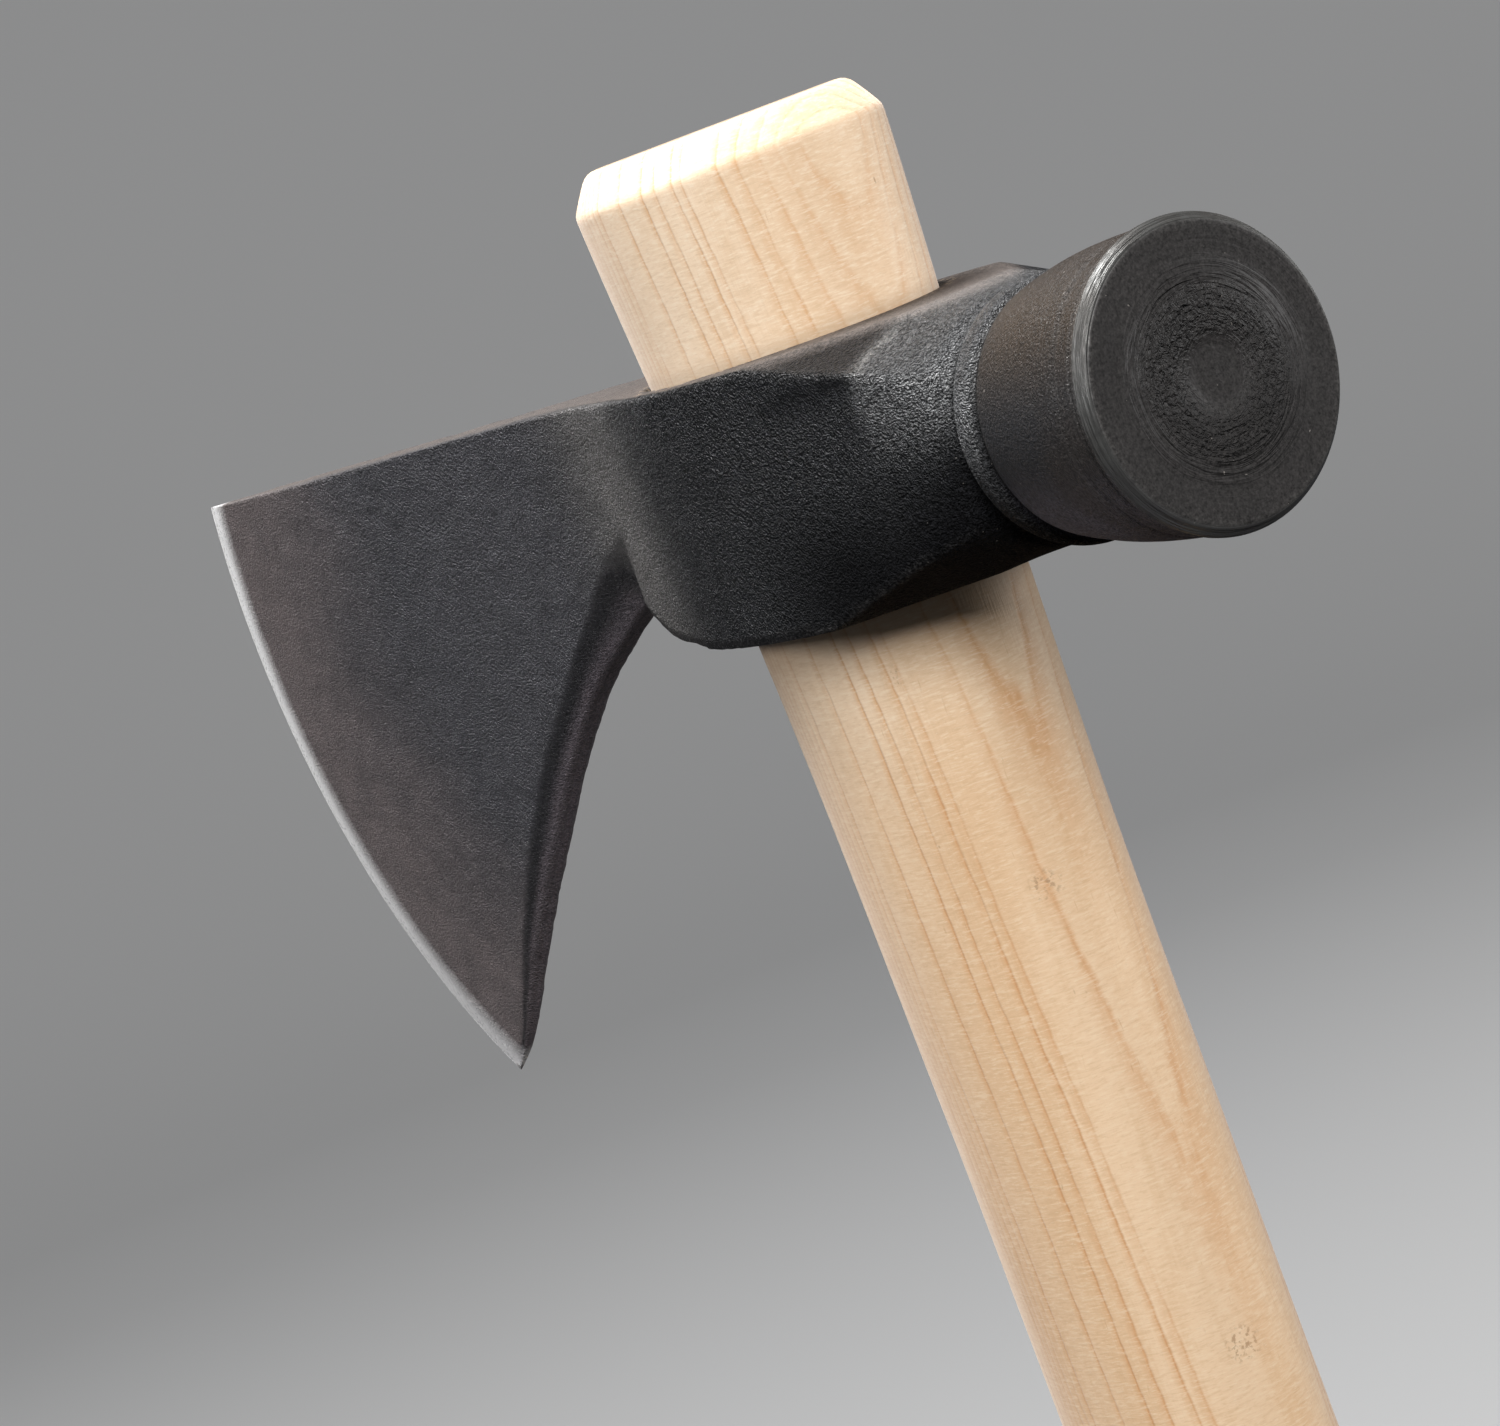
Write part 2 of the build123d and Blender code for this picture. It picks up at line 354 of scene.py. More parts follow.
def block_ring(x, counts, facets=True, sigma=0.32):
    w = float(np.interp(x, gx, wide_x)) if x < 30 else float(flare(x))
    if facets:
        f = float(np.interp(x, gx, facet_x)) + 0.02
        top, low = -0.25 * min(f, 1), -BLOCK_H + 0.6 * min(f, 1)
        cw, dt, dl = 9.0 * f, 3.7 * f, 4.0 * f
        poly = np.array([(-top, 0), (-top, w - cw), (-top + dt, w),
                         (-low - dl, w), (-low, w - cw), (-low, 0)])
        marks_ = [1, 2, 3, 4]
    else:
        depth = -float(under(x))
        s = np.linspace(0, depth, 200)
        p = np.stack([np.full(200, x), -s], -1)
        y, _, _ = half_width(p)
        if x < 30:
            y = np.full(200, w)
        y = blur(y[:, None], 4)[:, 0]
        poly = np.vstack([[(0, 0)], np.stack([s, y], -1), [(depth, 0)]])
        marks_ = [1, 180, 200]
    h = half_ring(poly, marks_, counts, sigma, 1.2)
    return np.stack([np.full(len(h), x), h[:, 1], TOP - h[:, 0]], -1)


circle = zone_a[-1][: len(ang)]
neck_x = np.linspace(-42.6, -33.0, 18)[1:]
octa = block_ring(-33.0, COUNT_A)
neck = []
for x in neck_x:
    t = (x + 42.6) / 9.6
    p = circle * (1 - t) + octa * t
    p[:, 0] = x
    neck.append(p)
back_x = np.linspace(-33.0, -12.5, 34)[1:]
rear = neck + [block_ring(x, COUNT_A) for x in back_x]
rear = np.array(rear)
# softens the line where the neck starts
for _ in range(2):
    soft = rear.copy()
    soft[1:-1, :, 1:] = 0.25 * rear[:-2, :, 1:] + 0.5 * rear[1:-1, :, 1:] + 0.25 * rear[2:, :, 1:]
    keep = step(6, 1.5, np.abs(rear[:, :1, :1] + 33.0))
    rear = rear + (soft - rear) * keep
zone_a += [full(p) for p in rear]
rings.append(zone_a)

# eye block
COUNT_B = (26, 44, 4, 26)
mid_x = np.linspace(-12.5, 39.4, 80)[1:]
rings.append([full(block_ring(x, COUNT_B, False)) for x in mid_x])

# blade
COUNT_C = (5, 96, 8, 3)
ANGLE_TOP = lambda r: math.asin(20.91 / r)
rho_b = np.hypot(beard[:, 0] - ECX, beard[:, 1] + 20.91)
theta_b = np.arctan2(beard[:, 1] + 20.91, beard[:, 0] - ECX)
outer = np.argmax(beard[:, 1] < -40.0)


def arc_line(r, n=420):
    low = np.interp(r, rho_b[outer:], theta_b[outer:])
    th = np.linspace(ANGLE_TOP(r), low, n)
    return np.stack([ECX + r * np.cos(th), -20.91 + r * np.sin(th)], -1)


first = arc_line(25.0)
join = np.argmin(np.hypot(beard[:, 0] - first[-1, 0], beard[:, 1] - first[-1, 1]))
chin_part = np.array([(x, float(under(x))) for x in np.linspace(40.0, 43.2, 6)])
beard_part = along(beard[: join + 1], np.linspace(0, 1, 58))
low_line = np.vstack([chin_part[:-1], beard_part])
low_line[-1] = first[-1]
share = chord(low_line)
share = share / share[-1]
top_line = np.stack([40.0 + (first[0, 0] - 40.0) * share, np.zeros(len(share))], -1)
left = along(np.array([(40.0, 0.0), (40.0, float(under(40.0)))]), np.linspace(0, 1, 420))
right = along(first, np.linspace(0, 1, 420))
lines = []
v = np.linspace(0, 1, 420)[:, None]
for k, u in enumerate(share):
    p = (
        (1 - v) * top_line[k] + v * low_line[k] + (1 - u) * left + u * right
        - ((1 - u) * (1 - v) * left[0] + u * (1 - v) * right[0]
           + (1 - u) * v * left[-1] + u * v * right[-1])
    )
    lines.append(p)
for r in np.r_[np.linspace(25.0, 77.9, 84)[1:], 78.3, 78.7, 79.2, 79.8, 80.4, 81.0, 81.6, 82.1, 82.4, 82.5]:
    lines.append(arc_line(r))


def blade_ring(p):
    s = chord(p)
    y, side, bevel = half_width(p)
    rho = np.hypot(p[:, 0] - ECX, p[:, 1] + 20.91)
    if rho.min() < 79:
        y = blur(y[:, None], 1.6)[:, 0]
        y[-1] = min(y[-1], 6.5)
    cut = np.where(bevel[:-1] < side[:-1])[0]
    cut = cut[cut > len(s) // 2]
    ridge = cut[0] if len(cut) else int(np.searchsorted(s, s[-1] - 0.5))
    ridge = min(ridge, int(np.searchsorted(s, s[-1] - 0.5)))
    poly = np.vstack([[(0, 0)], np.stack([s, y], -1), [(s[-1], 0)]])
    thin = float(y[len(y) // 2])
    sigma = float(np.clip(0.16 * thin, 0.02, 0.30))
    h = half_ring(poly, [1, ridge + 1, len(s)], COUNT_C, sigma, 3 * sigma)
    x = np.interp(h[:, 0], s, p[:, 0])
    z = np.interp(h[:, 0], s, p[:, 1])
    return np.stack([x, h[:, 1], TOP + z], -1)


rings.append([full(blade_ring(p)) for p in lines])

# ------------------------------------------------------------------ head: mesh
verts, faces = [], []
for zone in rings:
    verts += zone
# offsets of every ring
offsets, total = [], 0
for zone in rings:
    row = []
    for ring in zone:
        row.append(total)
        total += len(ring)
    offsets.append(row)
co = np.vstack(verts)
for zone, row in zip(rings, offsets):
    n = len(zone[0])
    j = np.arange(n)
    k = (j + 1) % n
    for a, b in zip(row[:-1], row[1:]):
        faces.append(np.stack([a + j, a + k, b + k, b + j], -1))
quads = np.vstack(faces)
tris = []


def zip_rings(a0, na, pa, b0, nb, pb):
    """Joins two rings with different counts, half by half."""
    ha, hb = na // 2, nb // 2
    for flip in (False, True):
        ia = [(a0 + i) if not flip else (a0 + (na - i) % na) for i in range(ha + 1)]
        ib = [(b0 + i) if not flip else (b0 + (nb - i) % nb) for i in range(hb + 1)]
        sa = chord(pa[: ha + 1]); sa = sa / sa[-1]
        sb = chord(pb[: hb + 1]); sb = sb / sb[-1]
        i = j = 0
        while i < ha or j < hb:
            if j >= hb or (i < ha and sa[i + 1] <= sb[j + 1]):
                t = (ia[i], ia[i + 1], ib[j]); i += 1
            else:
                t = (ia[i], ib[j + 1], ib[j]); j += 1
            tris.append(t if not flip else t[::-1])


for q in (0, 1):
    a, b = rings[q][-1], rings[q + 1][0]
    zip_rings(offsets[q][-1], len(a), a, offsets[q + 1][0], len(b), b)
# middle of the striking face
centre = len(co)
co = np.vstack([co, [(FACE_X, 0, PZ)]])
n = len(rings[0][0])
for j in range(n):
    tris.append((offsets[0][0] + (j + 1) % n, offsets[0][0] + j, centre))
# the cutting edge itself
last, n = offsets[2][-1], len(rings[2][-1])
half = n // 2
end_quads = []
for j in range(half):
    a, b = last + j, last + j + 1
    c, d = last + (n - j - 1) % n, last + (n - j) % n
    ids = []
    for q in (a, b, c, d):
        if q not in ids:
            ids.append(q)
    end_quads.append(ids[::-1])


def mesh_object(name, points, polys, smooth=True):
    me = bpy.data.meshes.new(name)
    me.from_pydata([tuple(p) for p in points], [], polys)
    me.validate()
    bm = bmesh.new()
    bm.from_mesh(me)
    bmesh.ops.recalc_face_normals(bm, faces=bm.faces)
    bm.to_mesh(me)
    bm.free()
    me.update()
    me.polygons.foreach_set("use_smooth", [smooth] * len(me.polygons))
    ob = bpy.data.objects.new(name, me)
    bpy.context.scene.collection.objects.link(ob)
    return ob


def coords(ob):
    a = np.zeros(len(ob.data.vertices) * 3, np.float32)
    ob.data.vertices.foreach_get("co", a)
    return a.reshape(-1, 3).astype(float)


def normals(ob):
    a = np.zeros(len(ob.data.vertices) * 3, np.float32)
    ob.data.vertex_normals.foreach_get("vector", a)
    return a.reshape(-1, 3).astype(float)


def put(ob, p):
    ob.data.vertices.foreach_set("co", p.astype(np.float32).ravel())
    ob.data.update()


head = mesh_object(
    "forged_head", co, [list(map(int, q)) for q in quads] + [tuple(map(int, t)) for t in tris] + end_quads
)
print("head base", len(head.data.vertices), len(head.data.polygons))


# relief of the forging: flats and swells from the hammer, fine scale, dents
def relief(p, nrm):
    x, y, z = p.T
    rho = np.hypot(x - ECX, z - ECZ)
    poll = step(-45.6, -47.2, x)
    blade = step(30, 70, x)
    quiet = (1 - step(75, 78.6, rho)) * (1 - poll)
    flat = np.abs(nrm[:, 2]) ** 4
    d = 0.10 * noise(p, 11, 1, 2) * (1 - 0.45 * blade)
    near_edge = step(50, 76, rho) * (x > 90)
    d += (0.060 + 0.006 * blade - 0.024 * near_edge) * noise(p, 3.1, 2, 2)
    d += (0.044 + 0.014 * blade - 0.030 * near_edge) * noise(p, 1.35, 3, 2)
    d *= quiet * (1 - 0.45 * flat)
    # shallow dents on the cheeks of the blade
    side = np.sign(y)
    for cx, cz, rx, rz, depth, tilt, face in (
        (99.8, -41.4, 0.9, 2.3, 0.16, 0.5, 1), (98.8, -60.6, 0.8, 1.8, 0.10, 0.4, 1),
        (109.8, -31.0, 0.7, 2.4, 0.07, 0.6, 1), (79.9, -15.3, 2.6, 1.8, 0.06, 0.2, 1),
        (117.0, -47.0, 0.6, 3.2, 0.06, 0.5, 1), (88.0, -36.0, 1.4, 2.6, 0.07, 0.7, 1),
        (38.5, -4.4, 0.45, 1.6, 0.08, 0.3, 1), (131.0, -40.0, 0.5, 2.0, 0.05, 0.6, 1),
        (92.0, -28.0, 1.0, 2.4, 0.10, -0.4, -1), (120.0, -20.0, 0.7, 2.2, 0.08, 0.3, -1),
        (106.0, -56.0, 0.8, 1.7, 0.11, 0.5, -1), (73.0, -19.0, 2.2, 1.6, 0.07, 0.1, -1),
        (4.0, -11.0, 1.8, 1.4, 0.09, 0.2, -1), (14.0, -19.0, 1.2, 1.8, 0.07, 0.7, 1),
    ):
        c, s = math.cos(tilt), math.sin(tilt)
        dx, dz = x - cx, z - TOP - cz
        a, b = dx * c + dz * s, -dx * s + dz * c
        w = np.exp(-((a / rx) ** 2 + (b / rz) ** 2)) * (side == face)
        d -= depth * w * step(0.3, 0.7, np.abs(nrm[:, 1]))
    # cove between the neck and the bead
    d -= 0.60 * np.exp(-(((x + 41.9) / 1.15) ** 2)) * step(-43.1, -42.5, x)
    # hollow in the side panel, just under the corner facet
    dip = np.exp(-(((z - TOP + 5.3 + 0.05 * (x + 24)) / 1.25) ** 2)) * step(-16.5, -21.0, x) * step(-34.5, -32.0, x)
    d -= 0.34 * dip * step(0.5, 0.85, np.abs(nrm[:, 1]))
    # marks of facing and forging on the striking face
    r = np.hypot(y, z - PZ)
    on_face = step(FACE_X + 0.25, FACE_X + 0.02, x) * (1 - step(14.3, 14.8, r))
    band = step(3.0, 6.0, r) * (1 - step(9.6, 11.8, r))
    th = np.arctan2(z - PZ, y)
    q = np.stack([r * 1.0, th * r * 0.28, np.zeros_like(r)], -1)
    ridges = noise(q, 0.62, 5, 1)
    d += on_face * (0.055 * band * ridges + 0.006 * np.sin(r * 7.4) * step(2, 6, r) * (1 - step(11, 13, r)))
    d += on_face * 0.03 * noise(p, 5.0, 8)
    # turning on the barrel
    tub = poll * step(FACE_X + 2.6, FACE_X + 3.2, x)
    d += tub * 0.012 * noise(p, 4.0, 9)
    d *= 1 - step(78.0, 79.0, rho) * (x > 100)
    return d


pts = coords(head)
nrm = normals(head)
pts = pts + nrm * relief(pts, nrm)[:, None]
# the striking face stays within the forging's own size
pts[:, 0] = np.maximum(pts[:, 0], FACE_X - 0.03)
put(head, pts)

# the eye, cut through the forging
GAP = 0.16
OVAL = 0.762


haft_in = cubic([404.5, 449.5, 479.5, TOP - 30.0, TOP, CROWN - 4.0],
                [17.3, 17.40, 17.72, 18.50, 19.86, 21.15], 0.0, 0.05)


def haft_a(z):
    """Half depth of the haft at height z."""
    return np.where(z < 404.5, 17.3, haft_in(np.clip(z, 404.5, CROWN)))


prof_eye = []
for dz, extra in ((3.0, 1.25), (0.6, 1.2), (0.15, 0.9), (-0.1, 0.62), (-0.45, 0.32),
                  (-0.95, 0.10), (-1.6, 0.0)):
    prof_eye.append((TOP + dz, extra))
for zz in np.linspace(TOP - 3.0, TOP - BLOCK_H + 2.6, 22):
    prof_eye.append((zz, 0.0))
for dz, extra in ((1.5, 0.02), (0.9, 0.14), (0.4, 0.38), (0.0, 0.7), (-0.6, 1.0), (-3.0, 1.1)):
    prof_eye.append((TOP - BLOCK_H + dz, extra))
NE = 176
te = np.linspace(0, 2 * np.pi, NE, endpoint=False)
taper = (19.86 - 18.50) / 30.0
cutter_pts, cutter_faces = [], []
for zz, extra in prof_eye:
    a = 19.86 + taper * (zz - TOP)
    cutter_pts.append(np.stack([
        (a + GAP + extra) * np.cos(te), (a * OVAL + GAP + extra) * np.sin(te),
        np.full(NE, zz)], -1))
for i in range(len(prof_eye) - 1):
    for j in range(NE):
        k = (j + 1) % NE
        cutter_faces.append((i * NE + j, i * NE + k, (i + 1) * NE + k, (i + 1) * NE + j))
cutter_faces.append(tuple(range(NE)))
cutter_faces.append(tuple(range((len(prof_eye) - 1) * NE, len(prof_eye) * NE)))
cutter = mesh_object("eye_cutter", np.vstack(cutter_pts), cutter_faces)
mod = head.modifiers.new("eye", "BOOLEAN")
mod.operation, mod.solver, mod.object = "DIFFERENCE", "MANIFOLD", cutter
dg = bpy.context.evaluated_depsgraph_get()
cut = bpy.data.meshes.new_from_object(head.evaluated_get(dg))
head.modifiers.clear()
head.data = cut
bpy.data.objects.remove(cutter)
head.data.polygons.foreach_set("use_smooth", [True] * len(head.data.polygons))
print("head cut", len(head.data.vertices), len(head.data.polygons))
head.data.calc_loop_triangles()
print("head triangles", len(head.data.loop_triangles))


# ------------------------------------------------------------------ haft
NZ, NA = 500, 132
ang_h = np.linspace(0, 2 * np.pi, NA, endpoint=False)
hp = []


def oval(z, a, b):
    return np.stack([a * np.cos(ang_h), b * np.sin(ang_h), np.full(NA, z)], -1)


# outline from the middle of the butt, up the side, to the middle of the crown
outline = []           # (height, amount taken off the half axes)
for q in np.linspace(0, 1, 6):
    outline.append((0.0 + 0.35 * q**2, 2.2 - 0.35 * q))
outline += [(1.0, 1.1), (1.5, 0.66), (2.0, 0.28), (2.6, 0.07), (3.4, 0.0)]
outline += [(zz, 0.0) for zz in np.linspace(4.6, CROWN - 5.4, NZ)]
outline += [(CROWN - 4.9, 0.0), (CROWN - 4.5, 0.03), (CROWN - 4.1, 0.12),
            (CROWN - 3.7, 0.32), (CROWN - 3.2, 0.62), (CROWN - 2.5, 1.06),
            (CROWN - 1.8, 1.52), (CROWN - 1.1, 2.0), (CROWN - 0.65, 2.38),
            (CROWN - 0.3, 2.85), (CROWN - 0.1, 3.4), (CROWN - 0.02, 4.1)]
for zz, off in outline:
    a = float(haft_a(min(zz, CROWN - 4.0)))
    hp.append(oval(zz, a - off, a * OVAL - off))
for q in np.linspace(0.92, 0.1, 12):          # end grain at the crown
    a, b = 21.15 - 4.1, 21.15 * OVAL - 4.1
    hp.append(oval(CROWN, a * q, b * q))
butt_rows = []
for q in np.linspace(0.1, 0.93, 12):          # end grain at the butt
    a, b = 17.3 - 2.2, 17.3 * OVAL - 2.2
    butt_rows.append(oval(0.0, a * q, b * q))
hp = butt_rows + hp
rows = len(hp)
pts = np.vstack(hp)
hf = []
for i in range(rows - 1):
    for j in range(NA):
        k = (j + 1) % NA
        hf.append((i * NA + j, i * NA + k, (i + 1) * NA + k, (i + 1) * NA + j))
low_c, top_c = len(pts), len(pts) + 1
pts = np.vstack([pts, [(0, 0, 0.0)], [(0, 0, CROWN)]])
for j in range(NA):
    k = (j + 1) % NA
    hf.append((k, j, low_c))
    hf.append(((rows - 1) * NA + j, (rows - 1) * NA + k, top_c))
haft = mesh_object("ash_haft", pts, hf)


def growth(p):
    """Growth ring coordinate in mm at points of the haft: the years run across X."""
    x, y, z = p.T
    run = z - TOP
    wob = 0.9 * noise(np.stack([x * 0.2, y * 0.2, z], -1), 70, 21) \
        + 0.35 * noise(np.stack([x * 0.3, y * 0.3, z], -1), 23, 22)
    return -(x + 0.006 * y * y) + 0.030 * run + wob


pts = coords(haft)
nrm = normals(haft)
d = 0.10 * noise(pts * np.array([1, 1, 0.25]), 13, 31, 2)     # shaving by hand
d += 0.02 * noise(pts * np.array([1, 1, 0.12]), 2.2, 33, 1)
inside = step(TOP - BLOCK_H - 1.0, TOP - BLOCK_H + 0.5, pts[:, 2]) * (1 - step(TOP - 0.5, TOP + 1.0, pts[:, 2]))
d *= (1 - inside) * (1 - 0.8 * np.abs(nrm[:, 2]))
pts = pts + nrm * d[:, None]
pts[:, 2] = np.clip(pts[:, 2], BUTT, CROWN)
put(haft, pts)


# ------------------------------------------------------------------ masks, as mesh data


def attribute(ob, name, values):
    a = ob.data.attributes.new(name, "FLOAT", "POINT")
    a.data.foreach_set("value", np.asarray(values, np.float32))


hpnt, hnrm = coords(head), normals(head)
x, y, z = hpnt.T
rho = np.hypot(x - ECX, z - ECZ)
attribute(head, "blade", step(22, 66, x))
attribute(head, "poll", step(-46.2, -47.4, x))
attribute(head, "flat_top", step(0.75, 0.97, hnrm[:, 2]) * step(TOP - 1.2, TOP - 0.4, z) * step(-44, -41, x))
flat_w, rise_w = beard_shape(x)
gap_w = beard_gap(np.stack([x, z - TOP], -1))
rear_edge = step(42.0, 46.0, x) * (z < TOP - 20)
side_w = 0.5 * (flare(x) + np.where(x < 58, 0, wedge(rho)) + np.sqrt((flare(x) - np.where(x < 58, 0, wedge(rho))) ** 2 + 0.04))
side_w = np.where(x > 100, wedge(rho), side_w)
inward = gap_w / np.maximum((side_w - flat_w) / rise_w, 0.4)       # 0 at the rear edge, 1 where the cheek starts
# mask for the painted shade in the bevel along the beard's rear edge
attribute(head, "band", step(1.16, 0.80, inward) * step(0.22, 0.60, inward) * rear_edge * step(0.2, 0.6, np.abs(hnrm[:, 1])))
# mask for the painted highlight on the strip at the beard's rear edge
attribute(head, "strip", rear_edge * step(0.66, 0.18, inward) * step(43.5, 50.0, x) * (hnrm[:, 0] < 0.6))
# mask for the painted highlight along the crease between the top corner facet and the neck
attribute(head, "ridge", np.exp(-((x + 33.0 + 0.3 * noise(hpnt, 2.0, 41)) / 0.5) ** 2) * step(TOP - 5.2, TOP - 3.6, z)
          * (1 - step(TOP - 1.6, TOP - 0.7, z)) * (np.abs(y) > 5.5))
# mask for the painted highlight on the flare of the cheek
attribute(head, "flare", np.exp(-(((x - 35.0) / 13.0) ** 2)) * step(0.3, 0.6, np.abs(hnrm[:, 1])))
rad = np.hypot(y, z - PZ)
attribute(head, "bead", step(-46.7, -46.3, x) * (1 - step(-43.5, -42.9, x)))
# mask for the painted shade in the grooves either side of the bead
attribute(head, "groove", np.maximum(np.exp(-(((x + 46.95) / 0.26) ** 2)), 0.85 * np.exp(-(((x + 42.35) / 0.45) ** 2))))
attribute(head, "face", step(FACE_X + 0.4, FACE_X + 0.1, x))
attribute(head, "rim", step(FACE_X + 0.02, FACE_X + 0.25, x) * (1 - step(FACE_X + 1.3, FACE_X + 1.7, x)) * step(14.8, 15.1, rad))
# eye wall: bare inside the hole
ell = np.sqrt((x / (19.9 + 1.6)) ** 2 + (y / (19.9 * OVAL + 1.6)) ** 2)
attribute(head, "eye", (1 - step(0.93, 1.0, ell)) * (np.abs(x) < 23))
attribute(head, "mouth", np.exp(-(((ell - 0.985) / 0.045) ** 2)) * step(0.2, 0.8, hnrm[:, 2]) * (np.abs(x) < 26))
# bending of the surface, for wear on the outer corners
bm = bmesh.new()
bm.from_mesh(head.data)
bm.verts.ensure_lookup_table()
ed = np.array([(e.verts[0].index, e.verts[1].index) for e in bm.edges])
bm.free()
va, vb = hpnt[ed[:, 0]], hpnt[ed[:, 1]]
ln = np.linalg.norm(vb - va, axis=1) + 1e-9
bend = np.zeros(len(hpnt))
cnt = np.zeros(len(hpnt))
da = ((hnrm[ed[:, 1]] - hnrm[ed[:, 0]]) * (vb - va)).sum(1) / ln**2
np.add.at(bend, ed[:, 0], da)
np.add.at(bend, ed[:, 1], da)
np.add.at(cnt, ed[:, 0], 1)
np.add.at(cnt, ed[:, 1], 1)
bend = bend / np.maximum(cnt, 1)
for _ in range(2):
    acc = np.zeros(len(hpnt))
    np.add.at(acc, ed[:, 0], bend[ed[:, 1]])
    np.add.at(acc, ed[:, 1], bend[ed[:, 0]])
    bend = 0.4 * bend + 0.6 * acc / np.maximum(cnt, 1)
attribute(head, "wear", np.clip((bend - 0.10) / 0.5, 0, 1))

gp = coords(haft)
attribute(haft, "years", growth(gp))
attribute(haft, "shade_line", np.exp(-((np.minimum(np.abs(gp[:, 2] - TOP), np.abs(gp[:, 2] - TOP + BLOCK_H))) / 1.2) ** 2))


# metres, and onto the bodies
for ob in (head, haft):
    put(ob, coords(ob) * 0.001)
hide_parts("head")
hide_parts("haft")
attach(head, "head")
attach(haft, "haft")


# ------------------------------------------------------------------ materials
class Tree:
    def __init__(self, name):
        self.mat = bpy.data.materials.new(name)
        self.mat.use_nodes = True
        self.t = self.mat.node_tree
        self.t.nodes.clear()
        self.out = self.t.nodes.new("ShaderNodeOutputMaterial")
        self.bsdf = self.t.nodes.new("ShaderNodeBsdfPrincipled")
        self.t.links.new(self.bsdf.outputs[0], self.out.inputs[0])

    def link(self, a, b):
        self.t.links.new(a, b)

    def put(self, socket, v):
        if hasattr(v, "is_output") or isinstance(v, bpy.types.NodeSocket):
            self.t.links.new(v, socket)
        else:
            if hasattr(socket, "default_value"):
                dv = socket.default_value
                if hasattr(dv, "__len__") and not hasattr(v, "__len__"):
                    v = (v,) * len(dv)
                elif hasattr(dv, "__len__") and len(dv) == 4 and len(v) == 3:
                    v = (*v, 1.0)
                socket.default_value = v

    def node(self, kind, ins=(), **props):
        n = self.t.nodes.new(kind)
        for k, v in props.items():
            setattr(n, k, v)
        for k, v in dict(ins).items():
            self.put(n.inputs[k], v)
        return n

    def math(self, op, a, b=0.0, c=0.0, clamp=False):
        n = self.t.nodes.new("ShaderNodeMath")
        n.operation, n.use_clamp = op, clamp
        self.put(n.inputs[0], a)
        self.put(n.inputs[1], b)
        self.put(n.inputs[2], c)
        return n.outputs[0]

    def mix(self, f, a, b, mode="MIX"):
        n = self.t.nodes.new("ShaderNodeMix")
        n.data_type, n.blend_type, n.clamp_factor = "RGBA", mode, True
        self.put(n.inputs[0], f)
        self.put(n.inputs[6], a)
        self.put(n.inputs[7], b)
        return n.outputs[2]

    def mixf(self, f, a, b):
        n = self.t.nodes.new("ShaderNodeMix")
        n.data_type = "FLOAT"
        self.put(n.inputs[0], f)
        self.put(n.inputs[2], a)
        self.put(n.inputs[3], b)
        return n.outputs[0]

    def span(self, v, a, b, c=0.0, d=1.0, kind="SMOOTHSTEP"):
        n = self.t.nodes.new("ShaderNodeMapRange")
        n.interpolation_type = kind
        for i, q in enumerate((v, a, b, c, d)):
            self.put(n.inputs[i], q)
        return n.outputs[0]

    def attr(self, name):
        return self.node("ShaderNodeAttribute", attribute_name=name).outputs["Fac"]

    def noise(self, vec, scale, detail=2.0, rough=0.5, warp=0.0, kind="FBM"):
        n = self.node("ShaderNodeTexNoise", noise_dimensions="3D")
        n.noise_type = kind
        self.put(n.inputs["Vector"], vec)
        self.put(n.inputs["Scale"], scale)
        self.put(n.inputs["Detail"], detail)
        self.put(n.inputs["Roughness"], rough)
        self.put(n.inputs["Distortion"], warp)
        return n.outputs["Fac"]

    def stretch(self, vec, s):
        n = self.node("ShaderNodeVectorMath", operation="MULTIPLY")
        self.put(n.inputs[0], vec)
        self.put(n.inputs[1], s)
        return n.outputs[0]

    def bump(self, height, distance, strength=1.0, normal=None):
        n = self.node("ShaderNodeBump")
        self.put(n.inputs["Height"], height)
        self.put(n.inputs["Distance"], distance)
        self.put(n.inputs["Strength"], strength)
        if normal is not None:
            self.put(n.inputs["Normal"], normal)
        return n.outputs[0]

    def mm(self):
        tc = self.node("ShaderNodeTexCoord")
        return self.stretch(tc.outputs["Object"], (1000.0, 1000.0, 1000.0))


